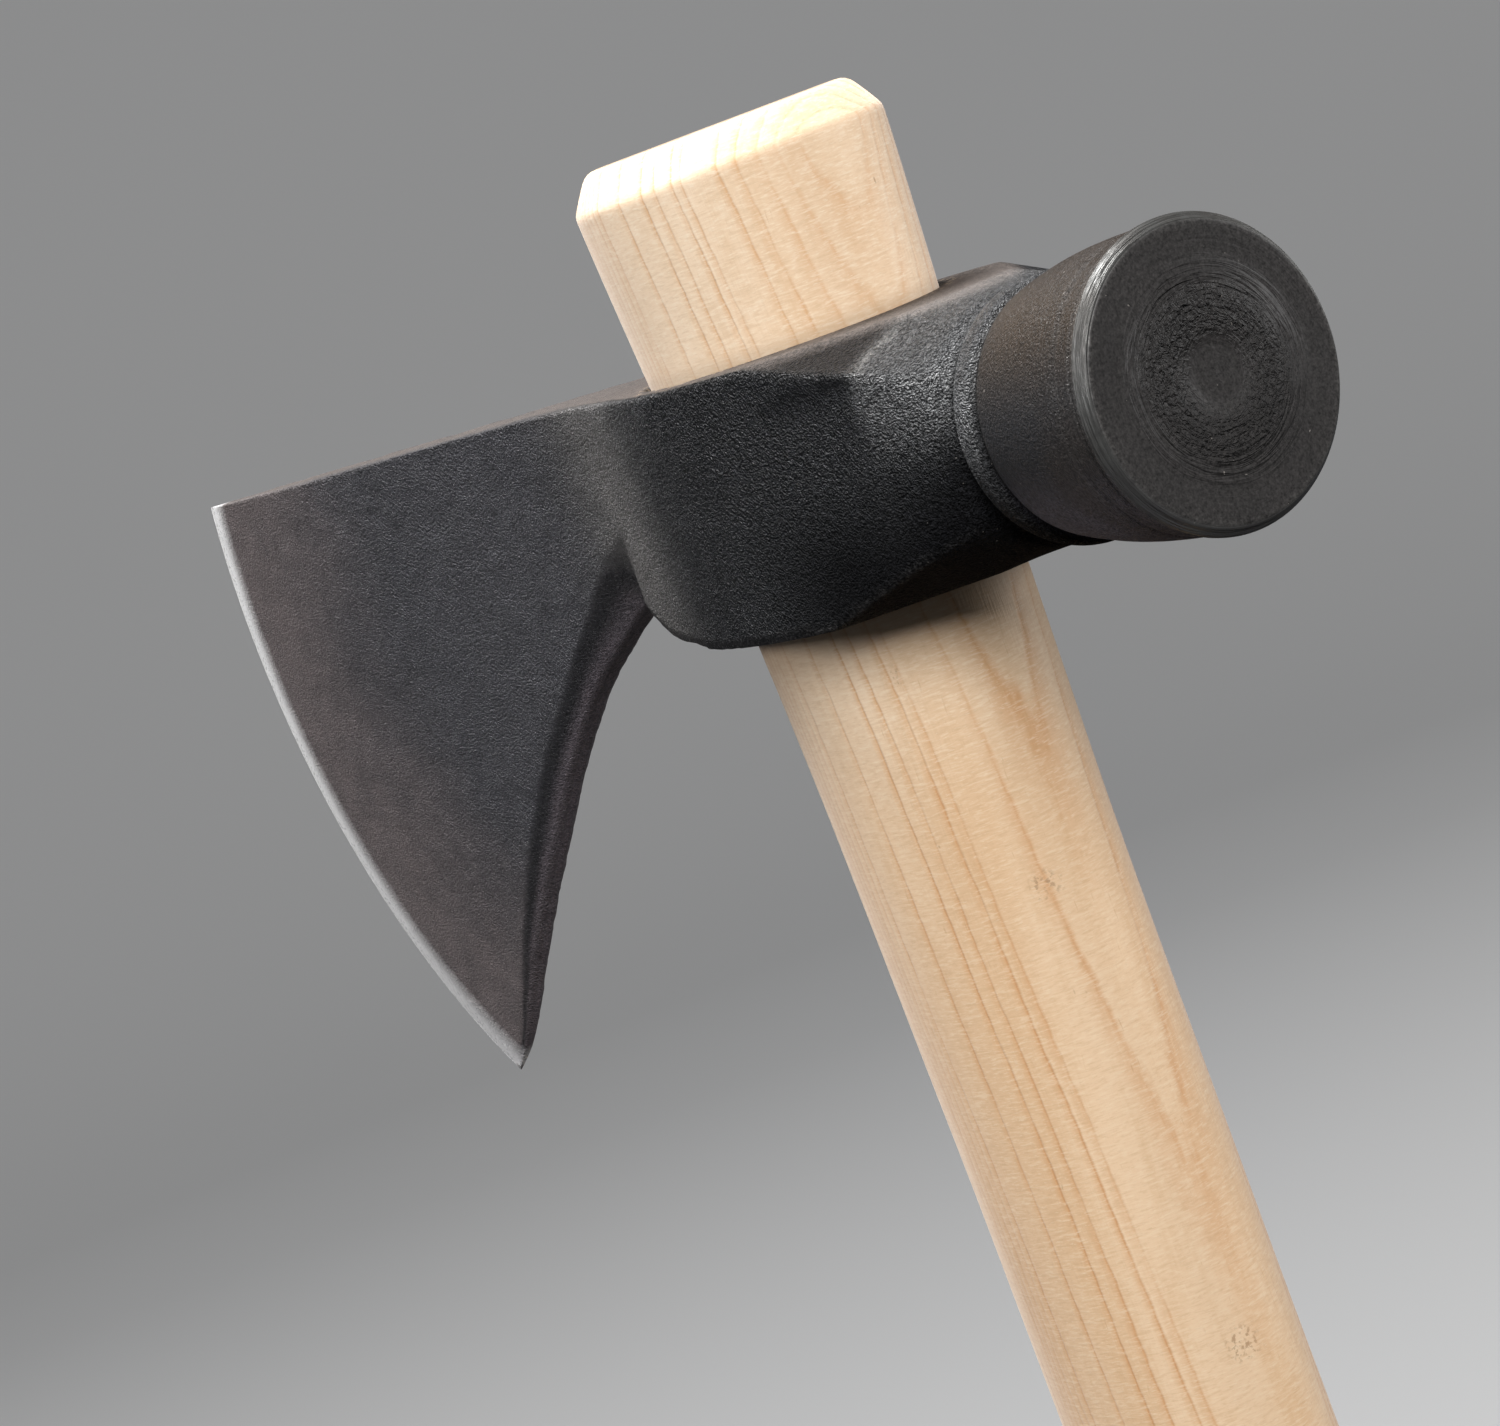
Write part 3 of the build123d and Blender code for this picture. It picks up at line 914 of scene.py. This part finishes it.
def head_material():
    t = Tree("blackened_forged_steel")
    P = t.mm()
    sep = t.node("ShaderNodeSeparateXYZ", {0: P})
    X, Y, Z = sep.outputs
    blade, poll, flat = t.attr("blade"), t.attr("poll"), t.attr("flat_top")
    face, rim, eye, wear, bead_m, groove_shade_m = (t.attr(k) for k in ("face", "rim", "eye", "wear", "bead", "groove"))
    beard_band_shade_m, strip_lit_m, ridge_highlight_m, flare_lit_m, mouth_m = (t.attr(k) for k in ("band", "strip", "ridge", "flare", "mouth"))
    dx, dz = t.math("SUBTRACT", X, ECX), t.math("SUBTRACT", Z, ECZ)
    rho = t.math("SQRT", t.math("ADD", t.math("MULTIPLY", dx, dx), t.math("MULTIPLY", dz, dz)))
    front = t.span(X, 98.0, 104.0)
    ragged = t.math("MULTIPLY", t.math("SUBTRACT", t.noise(P, 0.8, 3.0, 0.6), 0.5), 1.1)
    ground = t.math("MULTIPLY", t.span(t.math("ADD", rho, ragged), 76.6, 80.7, 0.0, 1.0, "LINEAR"), t.math("MULTIPLY", front, t.span(Z, TOP - 83.6, TOP - 82.2)))
    pz = t.math("SUBTRACT", Z, PZ)
    rad = t.math("SQRT", t.math("ADD", t.math("MULTIPLY", Y, Y), t.math("MULTIPLY", pz, pz)))

    big = t.noise(P, 0.045, 3.0, 0.55, 0.4)
    mid = t.noise(P, 0.22, 4.0, 0.6, 0.5)
    fine = t.noise(P, 1.9, 3.0, 0.62)
    tiny = t.noise(P, 4.2, 2.0, 0.6)

    # colour: black scale on the block, browner and greyer on the blade
    grit = t.span(t.mixf(0.45, fine, tiny), 0.42, 0.61)
    block = t.mix(grit, (0.0040, 0.0042, 0.0050), (0.0190, 0.0194, 0.0222))
    block = t.mix(t.span(mid, 0.35, 0.7, 0.0, 0.45), block, (0.0100, 0.0103, 0.0118))
    cool, warm = (0.055, 0.0540, 0.0615), (0.137, 0.1150, 0.1135)
    to_edge = t.span(t.math("ADD", rho, t.math("MULTIPLY", t.math("SUBTRACT", big, 0.5), 30.0)), 30.0, 74.0)
    steel = t.mix(to_edge, cool, warm)
    steel = t.mix(t.span(mid, 0.35, 0.75, 0.0, 0.30), steel, (0.030, 0.0305, 0.033))
    col = t.mix(blade, block, steel)
    # painted highlight: the flare at the front of the cheek is coloured lighter
    col = t.mix(t.math("MULTIPLY", flare_lit_m, 0.85), col, t.mix(mid, (0.120, 0.115, 0.112), (0.190, 0.178, 0.170)))
    # painted shade: a dark band in the bevel along the beard's rear edge
    col = t.mix(t.math("MULTIPLY", beard_band_shade_m, 0.85), col, (0.013, 0.0125, 0.0145))
    # painted highlight: the strip at the beard's rear edge, turned toward the light, is coloured lighter
    col = t.mix(t.math("MULTIPLY", strip_lit_m, t.span(mid, 0.3, 0.7, 0.65, 0.95)), col, (0.135, 0.113, 0.128))
    # painted highlight: the upper neck behind the block is coloured lighter than below
    neck_lit_m = t.math("MULTIPLY", t.span(X, -30.5, -34.0), t.span(Z, TOP - 17.0, TOP - 6.0))
    col = t.mix(t.math("MULTIPLY", neck_lit_m, 0.9), col, t.mix(grit, (0.020, 0.0205, 0.022), (0.088, 0.089, 0.091)))
    # painted shade: the lower rear of the block is coloured near black
    under_shade = t.math("MULTIPLY", t.span(Z, TOP - 11.0, TOP - 26.0), t.span(X, 2.0, -24.0))
    col = t.mix(t.math("MULTIPLY", under_shade, 0.8), col, (0.0030, 0.0030, 0.0036))
    # painted highlight: the upper part of the bead is coloured lighter
    bead_lit = t.math("MULTIPLY", bead_m, t.span(Z, PZ - 13.0, PZ + 4.0))
    col = t.mix(t.math("MULTIPLY", bead_lit, 0.85), col, t.mix(grit, (0.018, 0.019, 0.021), (0.070, 0.071, 0.074)))
    barrel = t.mix(t.span(Z, PZ + 1.0, PZ + 10.0), (0.018, 0.0178, 0.0195), (0.024, 0.0180, 0.0140))
    # painted sheen: the underside of the barrel is coloured lighter and purplish
    barrel = t.mix(t.span(Z, PZ - 2.0, PZ - 12.0), barrel, (0.120, 0.111, 0.136))
    barrel = t.mix(t.math("MULTIPLY", t.span(big, 0.45, 0.62), 0.5), barrel, (0.034, 0.0255, 0.0200))
    barrel = t.mix(t.math("MULTIPLY", t.span(t.noise(P, 3.0, 2.0, 0.65), 0.46, 0.64), 0.5), barrel, (0.038, 0.033, 0.030))
    col = t.mix(poll, col, barrel)
    # painted shade: the grooves either side of the bead are coloured near black
    col = t.mix(t.math("MULTIPLY", groove_shade_m, 0.9), col, (0.0035, 0.0035, 0.0040))
    disc = t.mix(mid, (0.022, 0.0208, 0.0205), (0.034, 0.0312, 0.0302))
    col = t.mix(face, col, disc)
    top = t.mix(mid, (0.052, 0.044, 0.039), (0.104, 0.085, 0.076))
    col = t.mix(t.math("MULTIPLY", flat, t.span(fine, 0.25, 0.6, 0.55, 1.0)), col, top)
    col = t.mix(t.math("MULTIPLY", eye, 0.85), col, (0.055, 0.046, 0.040))
    # wear: bare metal on corners, broken up by the grain; the crease at the neck gets a painted highlight
    worn = t.math("MULTIPLY", wear, t.span(t.math("ADD", fine, t.math("MULTIPLY", mid, 0.5)), 0.55, 0.95), clamp=True)
    col = t.mix(t.math("MULTIPLY", worn, 0.35), col, (0.12, 0.115, 0.11))
    col = t.mix(t.math("MULTIPLY", rim, t.span(mid, 0.35, 0.65, 0.55, 1.0)), col, (0.10, 0.10, 0.097))
    # painted highlight along the crease between the corner facet and the neck
    col = t.mix(t.math("MULTIPLY", ridge_highlight_m, t.span(fine, 0.3, 0.65, 0.10, 0.75)), col, (0.20, 0.197, 0.19))
    crumbs = t.span(t.noise(P, 1.25, 1.0, 0.5), 0.62, 0.70)
    col = t.mix(t.math("MULTIPLY", mouth_m, crumbs), col, (0.50, 0.38, 0.27))
    # grain: pits darker, tops lighter
    pits = t.span(t.mixf(0.5, fine, tiny), 0.34, 0.66, 0.40, 1.60, "LINEAR")
    shade = t.node("ShaderNodeCombineColor", {0: pits, 1: pits, 2: pits}).outputs[0]
    shade = t.mix(t.math("MAXIMUM", rim, t.math("MULTIPLY", to_edge, t.math("MULTIPLY", blade, 0.65))), shade, (0.97, 0.97, 0.97))
    col = t.mix(1.0, col, shade, "MULTIPLY")
    # short streaks that run down the blade
    st = t.noise(t.stretch(P, (1.0, 1.0, 0.22)), 0.62, 3.0, 0.55, 0.8)
    streak = t.math("MULTIPLY", t.span(st, 0.62, 0.74), t.math("MULTIPLY", blade, 0.45))
    col = t.mix(streak, col, (0.020, 0.0205, 0.022))
    specks = t.span(t.noise(P, 2.3, 0.0, 0.5), 0.86, 0.90)
    col = t.mix(t.math("MULTIPLY", specks, 0.7), col, (0.24, 0.22, 0.20))
    col = t.mix(ground, col, (0.90, 0.885, 0.885))
    t.put(t.bsdf.inputs["Base Color"], col)

    # metal shows where it is ground or worn
    metal = t.math("MAXIMUM", t.math("MULTIPLY", ground, 0.22), t.math("MULTIPLY", worn, 0.5))
    metal = t.math("MAXIMUM", metal, t.math("MULTIPLY", rim, 0.6))
    t.put(t.bsdf.inputs["Metallic"], metal)

    rough = t.mixf(blade, t.span(fine, 0.25, 0.75, 0.50, 0.26, "LINEAR"), t.span(fine, 0.2, 0.8, 0.46, 0.34, "LINEAR"))
    rough = t.mixf(poll, rough, t.span(mid, 0.3, 0.7, 0.36, 0.46, "LINEAR"))
    rough = t.mixf(face, rough, 0.50)
    rough = t.mixf(flat, rough, 0.58)
    rough = t.mixf(under_shade, rough, 0.80)
    rough = t.mixf(rim, rough, t.span(mid, 0.3, 0.7, 0.44, 0.34, "LINEAR"))
    rough = t.mixf(ground, rough, t.span(t.noise(t.stretch(P, (1.0, 1.0, 1.0)), 2.4, 2.0, 0.6), 0.3, 0.7, 0.24, 0.36, "LINEAR"))
    t.put(t.bsdf.inputs["Roughness"], rough)
    shine = t.mixf(t.span(X, 4.0, 40.0), 0.17, 0.26)
    shine = t.mixf(t.math("MAXIMUM", neck_lit_m, bead_lit), shine, 0.50)
    shine = t.mixf(under_shade, shine, 0.05)
    shine = t.mixf(poll, shine, t.span(Z, PZ + 2.0, PZ + 9.0, 0.24, 0.13))
    shine = t.mixf(face, shine, 0.19)
    shine = t.mixf(groove_shade_m, shine, 0.03)
    t.put(t.bsdf.inputs["Specular IOR Level"], shine)

    # surface: granular forging, turning lines, facing marks, grinding lines
    grain = t.math("ADD", t.math("MULTIPLY", t.noise(P, 2.3, 1.5, 0.6), 0.72), t.math("MULTIPLY", t.noise(P, 4.6, 2.0, 0.55), 0.5))
    amount = t.mixf(blade, 1.10, t.mixf(to_edge, 0.95, 0.42))
    amount = t.mixf(poll, amount, 0.012)
    amount = t.mixf(ground, amount, 0.0)
    amount = t.mixf(face, amount, 0.006)
    amount = t.mixf(flat, amount, 0.30)
    amount = t.mixf(strip_lit_m, amount, 0.45)
    h = t.math("MULTIPLY", grain, amount)
    lines = t.noise(t.stretch(P, (1.0, 0.03, 0.03)), 2.3, 3.0, 0.65)
    side = t.math("MULTIPLY", poll, t.math("SUBTRACT", 1.0, face))
    near = t.span(X, FACE_X + 13.0, FACE_X + 5.0, 0.25, 1.0)
    h = t.math("ADD", h, t.math("MULTIPLY", t.noise(P, 3.4, 2.0, 0.6), t.math("MULTIPLY", t.math("MULTIPLY", side, t.math("SUBTRACT", 1.0, rim)), 0.22)))
    h = t.math("ADD", h, t.math("MULTIPLY", lines, t.math("MULTIPLY", side, t.math("MULTIPLY", near, 0.46))))
    swirl = t.node("ShaderNodeCombineXYZ", {0: rad, 1: t.math("MULTIPLY", t.math("ARCTAN2", pz, Y), 0.8), 2: 0.0}).outputs[0]
    marks = t.noise(swirl, 2.0, 2.0, 0.6, 0.5)
    band = t.math("MULTIPLY", t.span(rad, 2.4, 6.0), t.span(rad, 12.0, 8.8))
    rough_band = t.math("MULTIPLY", t.span(rad, 2.6, 6.2), t.span(rad, 9.8, 7.0))
    h = t.math("ADD", h, t.math("MULTIPLY", marks, t.math("MULTIPLY", face, t.math("ADD", t.math("MULTIPLY", band, 0.85), 0.05))))
    h = t.math("ADD", h, t.math("MULTIPLY", t.noise(P, 1.55, 2.5, 0.62, 0.6), t.math("MULTIPLY", face, t.math("MULTIPLY", rough_band, 1.45))))
    grind = t.noise(t.stretch(P, (1.0, 1.0, 1.0)), 3.0, 2.0, 0.6)
    h = t.math("ADD", h, t.math("MULTIPLY", grind, t.math("MULTIPLY", ground, 0.010)))
    t.put(t.bsdf.inputs["Normal"], t.bump(h, 0.001, 1.0))
    return t.mat


def haft_material():
    t = Tree("ash_wood")
    P = t.mm()
    sep = t.node("ShaderNodeSeparateXYZ", {0: P})
    X, Y, Z = sep.outputs
    years = t.attr("years")
    wob = t.math("MULTIPLY", t.math("SUBTRACT", t.noise(t.stretch(P, (0.3, 0.3, 0.06)), 1.0, 3.0, 0.55), 0.5), 0.5)
    g = t.math("ADD", years, wob)
    # one growth line after another, at uneven spacing
    g = t.math("ADD", g, t.math("MULTIPLY", t.math("SUBTRACT", t.noise(t.stretch(P, (0.5, 0.5, 0.42)), 1.0, 2.0, 0.6), 0.5), 0.30))

    def growth_lines(lines):
        lo_g, hi_g = lines[0][0] - 2.0, lines[-1][0] + 2.0
        ramp = t.t.nodes.new("ShaderNodeValToRGB")
        t.link(t.span(g, lo_g, hi_g, 0.0, 1.0, "LINEAR"), ramp.inputs[0])
        el = ramp.color_ramp.elements
        stops = [(0.0, 0.0)]
        for c, dark in lines:
            for off, val in ((-0.95, 0.0), (-0.26, dark * 0.50), (-0.08, dark), (0.12, 0.0)):
                at = (c + off - lo_g) / (hi_g - lo_g)
                stops.append((max(at, stops[-1][0] + 1e-4), val))
        while len(el) < len(stops):
            el.new(0.5)
        for e, (at, val) in zip(el, stops):
            e.position = at
        for e, (at, val) in zip(el, stops):
            e.color = (val, val, val, 1)
        return ramp.outputs[0]

    line = growth_lines([(-20.3, .5), (-17.9, .5), (-14.6, .6), (-11.9, .6), (-9.9, .45), (-8.7, .6), (-7.6, .5)])
    line = t.math("MAXIMUM", line, growth_lines([(-6.4, .55), (-5.2, .5), (-3.9, .8), (0.9, .85), (4.9, 1.0), (6.9, .9), (9.4, 1.0)]))
    line = t.math("MAXIMUM", line, growth_lines([(10.6, .7), (14.7, .8), (16.5, .85), (18.3, .6), (19.6, .55), (20.7, .5)]))
    broad = t.noise(t.stretch(P, (0.10, 0.10, 0.012)), 1.0, 3.0, 0.5)
    pale, straw, tan = (0.85, 0.66, 0.475), (0.78, 0.57, 0.38), (0.63, 0.325, 0.135)
    col = t.mix(t.span(broad, 0.35, 0.65), pale, straw)
    patch = t.noise(t.stretch(P, (0.5, 0.5, 0.05)), 1.0, 4.0, 0.6)
    col = t.mix(t.span(patch, 0.45, 0.8, 0.0, 0.35), col, (0.66, 0.44, 0.25))
    fade = t.span(t.noise(t.stretch(P, (0.6, 0.6, 0.09)), 1.0, 3.0, 0.6), 0.30, 0.60, 0.35, 1.0)
    col = t.mix(t.math("MULTIPLY", line, t.math("MULTIPLY", fade, 0.9)), col, tan)
    # silk across the grain and pores along it
    silk = t.noise(t.stretch(P, (0.55, 0.55, 3.4)), 1.0, 3.0, 0.6, 0.5)
    col = t.mix(t.span(silk, 0.50, 0.68, 0.0, 0.42), col, (0.90, 0.77, 0.60))
    col = t.mix(t.span(silk, 0.50, 0.32, 0.0, 0.26), col, (0.60, 0.41, 0.24))
    fine_silk = t.noise(t.stretch(P, (1.1, 1.1, 6.5)), 1.0, 2.0, 0.6, 0.3)
    col = t.mix(t.span(fine_silk, 0.56, 0.72, 0.0, 0.40), col, (0.92, 0.80, 0.64))
    col = t.mix(t.span(fine_silk, 0.42, 0.28, 0.0, 0.22), col, (0.56, 0.37, 0.21))
    pore = t.noise(t.stretch(P, (2.6, 2.6, 0.30)), 1.0, 2.0, 0.55)
    col = t.mix(t.span(pore, 0.68, 0.80, 0.0, 0.35), col, (0.52, 0.31, 0.15))
    fleck = t.noise(t.stretch(P, (1.0, 1.0, 0.45)), 1.0, 1.0, 0.5)
    col = t.mix(t.span(fleck, 0.80, 0.86, 0.0, 0.6), col, (0.30, 0.18, 0.09))
    # knocks and small brown marks
    for cx, cz, rx, rz, amount in (
        (-16.3, 471.0, 0.9, 1.9, 0.5), (-17.0, 416.0, 0.6, 2.2, 0.55),
        (-16.4, 405.0, 1.0, 1.2, 0.5), (-12.0, 497.5, 0.5, 1.6, 0.45),
        (-12.0, 330.0, 1.2, 3.0, 0.6), (6.0, 250.0, 0.9, 4.0, 0.5), (-14.0, 150.0, 1.0, 3.0, 0.6),
    ):
        ax = t.math("DIVIDE", t.math("SUBTRACT", X, cx), rx)
        az = t.math("DIVIDE", t.math("SUBTRACT", Z, cz), rz)
        spot = t.math("ADD", t.math("MULTIPLY", ax, ax), t.math("MULTIPLY", az, az))
        spot = t.math("MULTIPLY", t.span(spot, 1.3, 0.2), t.span(t.noise(P, 1.7, 2.0, 0.6), 0.50, 0.66))
        spot = t.math("MULTIPLY", spot, t.span(Y, -1.0, 1.0))
        col = t.mix(t.math("MULTIPLY", spot, amount), col, (0.30, 0.17, 0.085))
    below = t.span(Z, TOP - 26.0, TOP - 60.0)
    aged = t.mix(below, (1.0, 1.0, 1.0), (0.93, 0.86, 0.775))
    col = t.mix(1.0, col, aged, "MULTIPLY")
    # painted shadow: the haft is coloured darker just under the head
    head_shadow = t.math("MULTIPLY", t.span(Z, TOP - BLOCK_H - 11.0, TOP - BLOCK_H), 0.30)
    head_shadow = t.math("MULTIPLY", head_shadow, t.span(Z, TOP - 1.0, TOP - 3.0))
    col = t.mix(head_shadow, col, (0.30, 0.175, 0.095))
    # painted shade along the lines where the haft enters and leaves the head
    contact_shade = t.attr("shade_line")
    col = t.mix(t.math("MULTIPLY", contact_shade, 0.35), col, (0.30, 0.21, 0.14))
    # end grain
    geo = t.node("ShaderNodeTexCoord")
    nz = t.node("ShaderNodeSeparateXYZ", {0: geo.outputs["Normal"]}).outputs[2]
    end = t.span(t.math("ABSOLUTE", nz), 0.55, 0.9)
    dots = t.node("ShaderNodeTexVoronoi", {"Vector": P, "Scale": 1.6}).outputs["Distance"]
    grain_end = t.mix(t.math("MULTIPLY", line, 0.8), t.mix(t.span(dots, 0.1, 0.45), (0.50, 0.34, 0.19), (0.74, 0.56, 0.36)), tan)
    col = t.mix(t.math("MULTIPLY", end, 0.8), col, grain_end)
    # the flat of a cut end is darker than its chamfer
    cut = t.span(t.math("ABSOLUTE", nz), 0.95, 0.99)
    oiled = t.mix(t.math("MULTIPLY", line, 0.8), (0.24, 0.165, 0.105), (0.15, 0.090, 0.050))
    col = t.mix(t.math("MULTIPLY", cut, 0.85), col, oiled)
    t.put(t.bsdf.inputs["Base Color"], col)
    t.put(t.bsdf.inputs["Roughness"], t.span(silk, 0.2, 0.8, 0.50, 0.64, "LINEAR"))
    t.bsdf.inputs["Specular IOR Level"].default_value = 0.35
    t.bsdf.inputs["Sheen Weight"].default_value = 0.22
    t.bsdf.inputs["Sheen Roughness"].default_value = 0.45
    t.bsdf.inputs["Sheen Tint"].default_value = (1.0, 0.92, 0.90, 1.0)
    h = t.math("ADD", t.math("MULTIPLY", line, -0.05), t.math("MULTIPLY", pore, -0.05))
    h = t.math("ADD", h, t.math("MULTIPLY", silk, 0.022))
    h = t.math("ADD", h, t.math("MULTIPLY", t.math("MULTIPLY", end, dots), 0.06))
    t.put(t.bsdf.inputs["Normal"], t.bump(h, 0.001, 1.0))
    return t.mat


def stage_material():
    t = Tree("pale_floor")
    P = t.mm()
    soft = t.noise(P, 0.0006, 2.0, 0.5)
    t.put(t.bsdf.inputs["Base Color"], t.mix(soft, (0.78, 0.78, 0.78), (0.82, 0.82, 0.82)))
    t.bsdf.inputs["Roughness"].default_value = 0.85
    t.bsdf.inputs["Specular IOR Level"].default_value = 0.2
    return t.mat


for ob, mat in ((head, head_material()), (haft, haft_material())):
    ob.data.materials.clear()
    ob.data.materials.append(mat)

# ------------------------------------------------------------------ floor
FLOOR = -0.105
NR = 96
fp = []
sweep = [(0.0, 0.0), (1.2, 0.0), (2.4, 0.0), (3.4, 0.0)]
for q in np.linspace(0, np.pi / 2, 20)[1:]:
    sweep.append((3.4 + 2.6 * math.sin(q), 2.6 * (1 - math.cos(q))))
sweep.append((6.0, 4.2))
pts = [(0, 0, FLOOR)]
for r, zz in sweep[1:]:
    for j in range(NR):
        a = 2 * math.pi * j / NR
        pts.append((r * math.cos(a), r * math.sin(a), FLOOR + zz))
ff = [(0, 1 + j, 1 + (j + 1) % NR) for j in range(NR)]
for i in range(len(sweep) - 2):
    for j in range(NR):
        k = (j + 1) % NR
        ff.append((1 + i * NR + j, 1 + (i + 1) * NR + j, 1 + (i + 1) * NR + k, 1 + i * NR + k))
floor = mesh_object("floor", np.array(pts), ff)
floor.data.materials.append(stage_material())
# the floor is lit for itself alone and throws nothing back on the axe
floor.visible_diffuse = floor.visible_glossy = False

# ------------------------------------------------------------------ light


def softbox(name, where, aim, size, power, colour=(1, 1, 1)):
    data = bpy.data.lights.new(name, "AREA")
    data.shape, data.size, data.size_y = "RECTANGLE", size[0], size[1]
    data.energy, data.color = power, colour
    ob = bpy.data.objects.new(name, data)
    bpy.context.scene.collection.objects.link(ob)
    ob.location = where
    d = Vector(aim) - Vector(where)
    ob.rotation_mode = "QUATERNION"
    ob.rotation_quaternion = d.to_track_quat("-Z", "Y")
    return ob


mid_head = Vector((0.02, 0.0, 0.50))


axe_only = bpy.data.collections.new("axe_only")
axe_only.objects.link(head)
axe_only.objects.link(haft)
floor_only = bpy.data.collections.new("floor_only")
floor_only.objects.link(floor)


def place(name, towards, far, size, power, colour=(1, 1, 1)):
    """A softbox aimed at the head; the floor has its own light."""
    d = Vector(towards).normalized()
    ob = softbox(name, mid_head + d * far, mid_head, size, power, colour)
    ob.visible_camera = False
    ob.light_linking.receiver_collection = axe_only
    return ob


place("key_top", (0.26, 0.06, 0.96), 1.15, (0.55, 0.50), 36.0)
place("key_front", (-0.80, 0.34, 0.47), 1.35, (0.55, 0.55), 20.0)
place("left_above", (0.30, 0.84, 0.44), 1.3, (0.45, 0.45), 6.0)
place("left_side", (0.985, -0.165, -0.03), 1.15, (0.12, 0.6), 0.9)
place("right_side", (-0.30, -0.94, 0.16), 1.4, (0.6, 0.6), 8.5)
place("low_edge", (0.87, 0.21, -0.45), 1.2, (0.35, 0.35), 0.3, (0.92, 0.88, 1.0))
for i in range(4):
    turn = math.radians(-30.6 + 90 * i)
    c, d = math.cos(turn), math.sin(turn)
    wash = softbox("floor_wash_%d" % i, (-1.9 * c, -1.9 * d, 3.0), (5.4 * c, 5.4 * d, 0.5), (2.6, 2.6), 138.0 if i == 0 else 30.0)
    wash.visible_camera = False
    wash.light_linking.receiver_collection = floor_only
    wash.light_linking.blocker_collection = floor_only

world = bpy.data.worlds.new("studio")
world.use_nodes = True
bg = world.node_tree.nodes["Background"]
bg.inputs[0].default_value = (0.93, 0.96, 1.0, 1)
bg.inputs[1].default_value = 0.055
bpy.context.scene.world = world
bpy.context.scene.view_settings.view_transform = "Standard"

# ------------------------------------------------------------------ camera
cam = bpy.data.cameras.new("camera")
cam_ob = bpy.data.objects.new("camera", cam)
bpy.context.scene.collection.objects.link(cam_ob)
cam.sensor_width, cam.lens = 36.0, 115.2
cam.clip_start, cam.clip_end = 0.02, 60.0
r_, u_, f_ = Vector((-0.51211, -0.78381, -0.35129)), Vector((-0.08549, -0.36042, 0.92892)), Vector((0.85471, -0.50574, -0.11756))
rot = Matrix((r_, u_, -f_)).transposed()
cam_ob.matrix_world = Matrix.Translation((-0.440588, 0.282613, 0.559529)) @ rot.to_4x4()
bpy.context.scene.camera = cam_ob
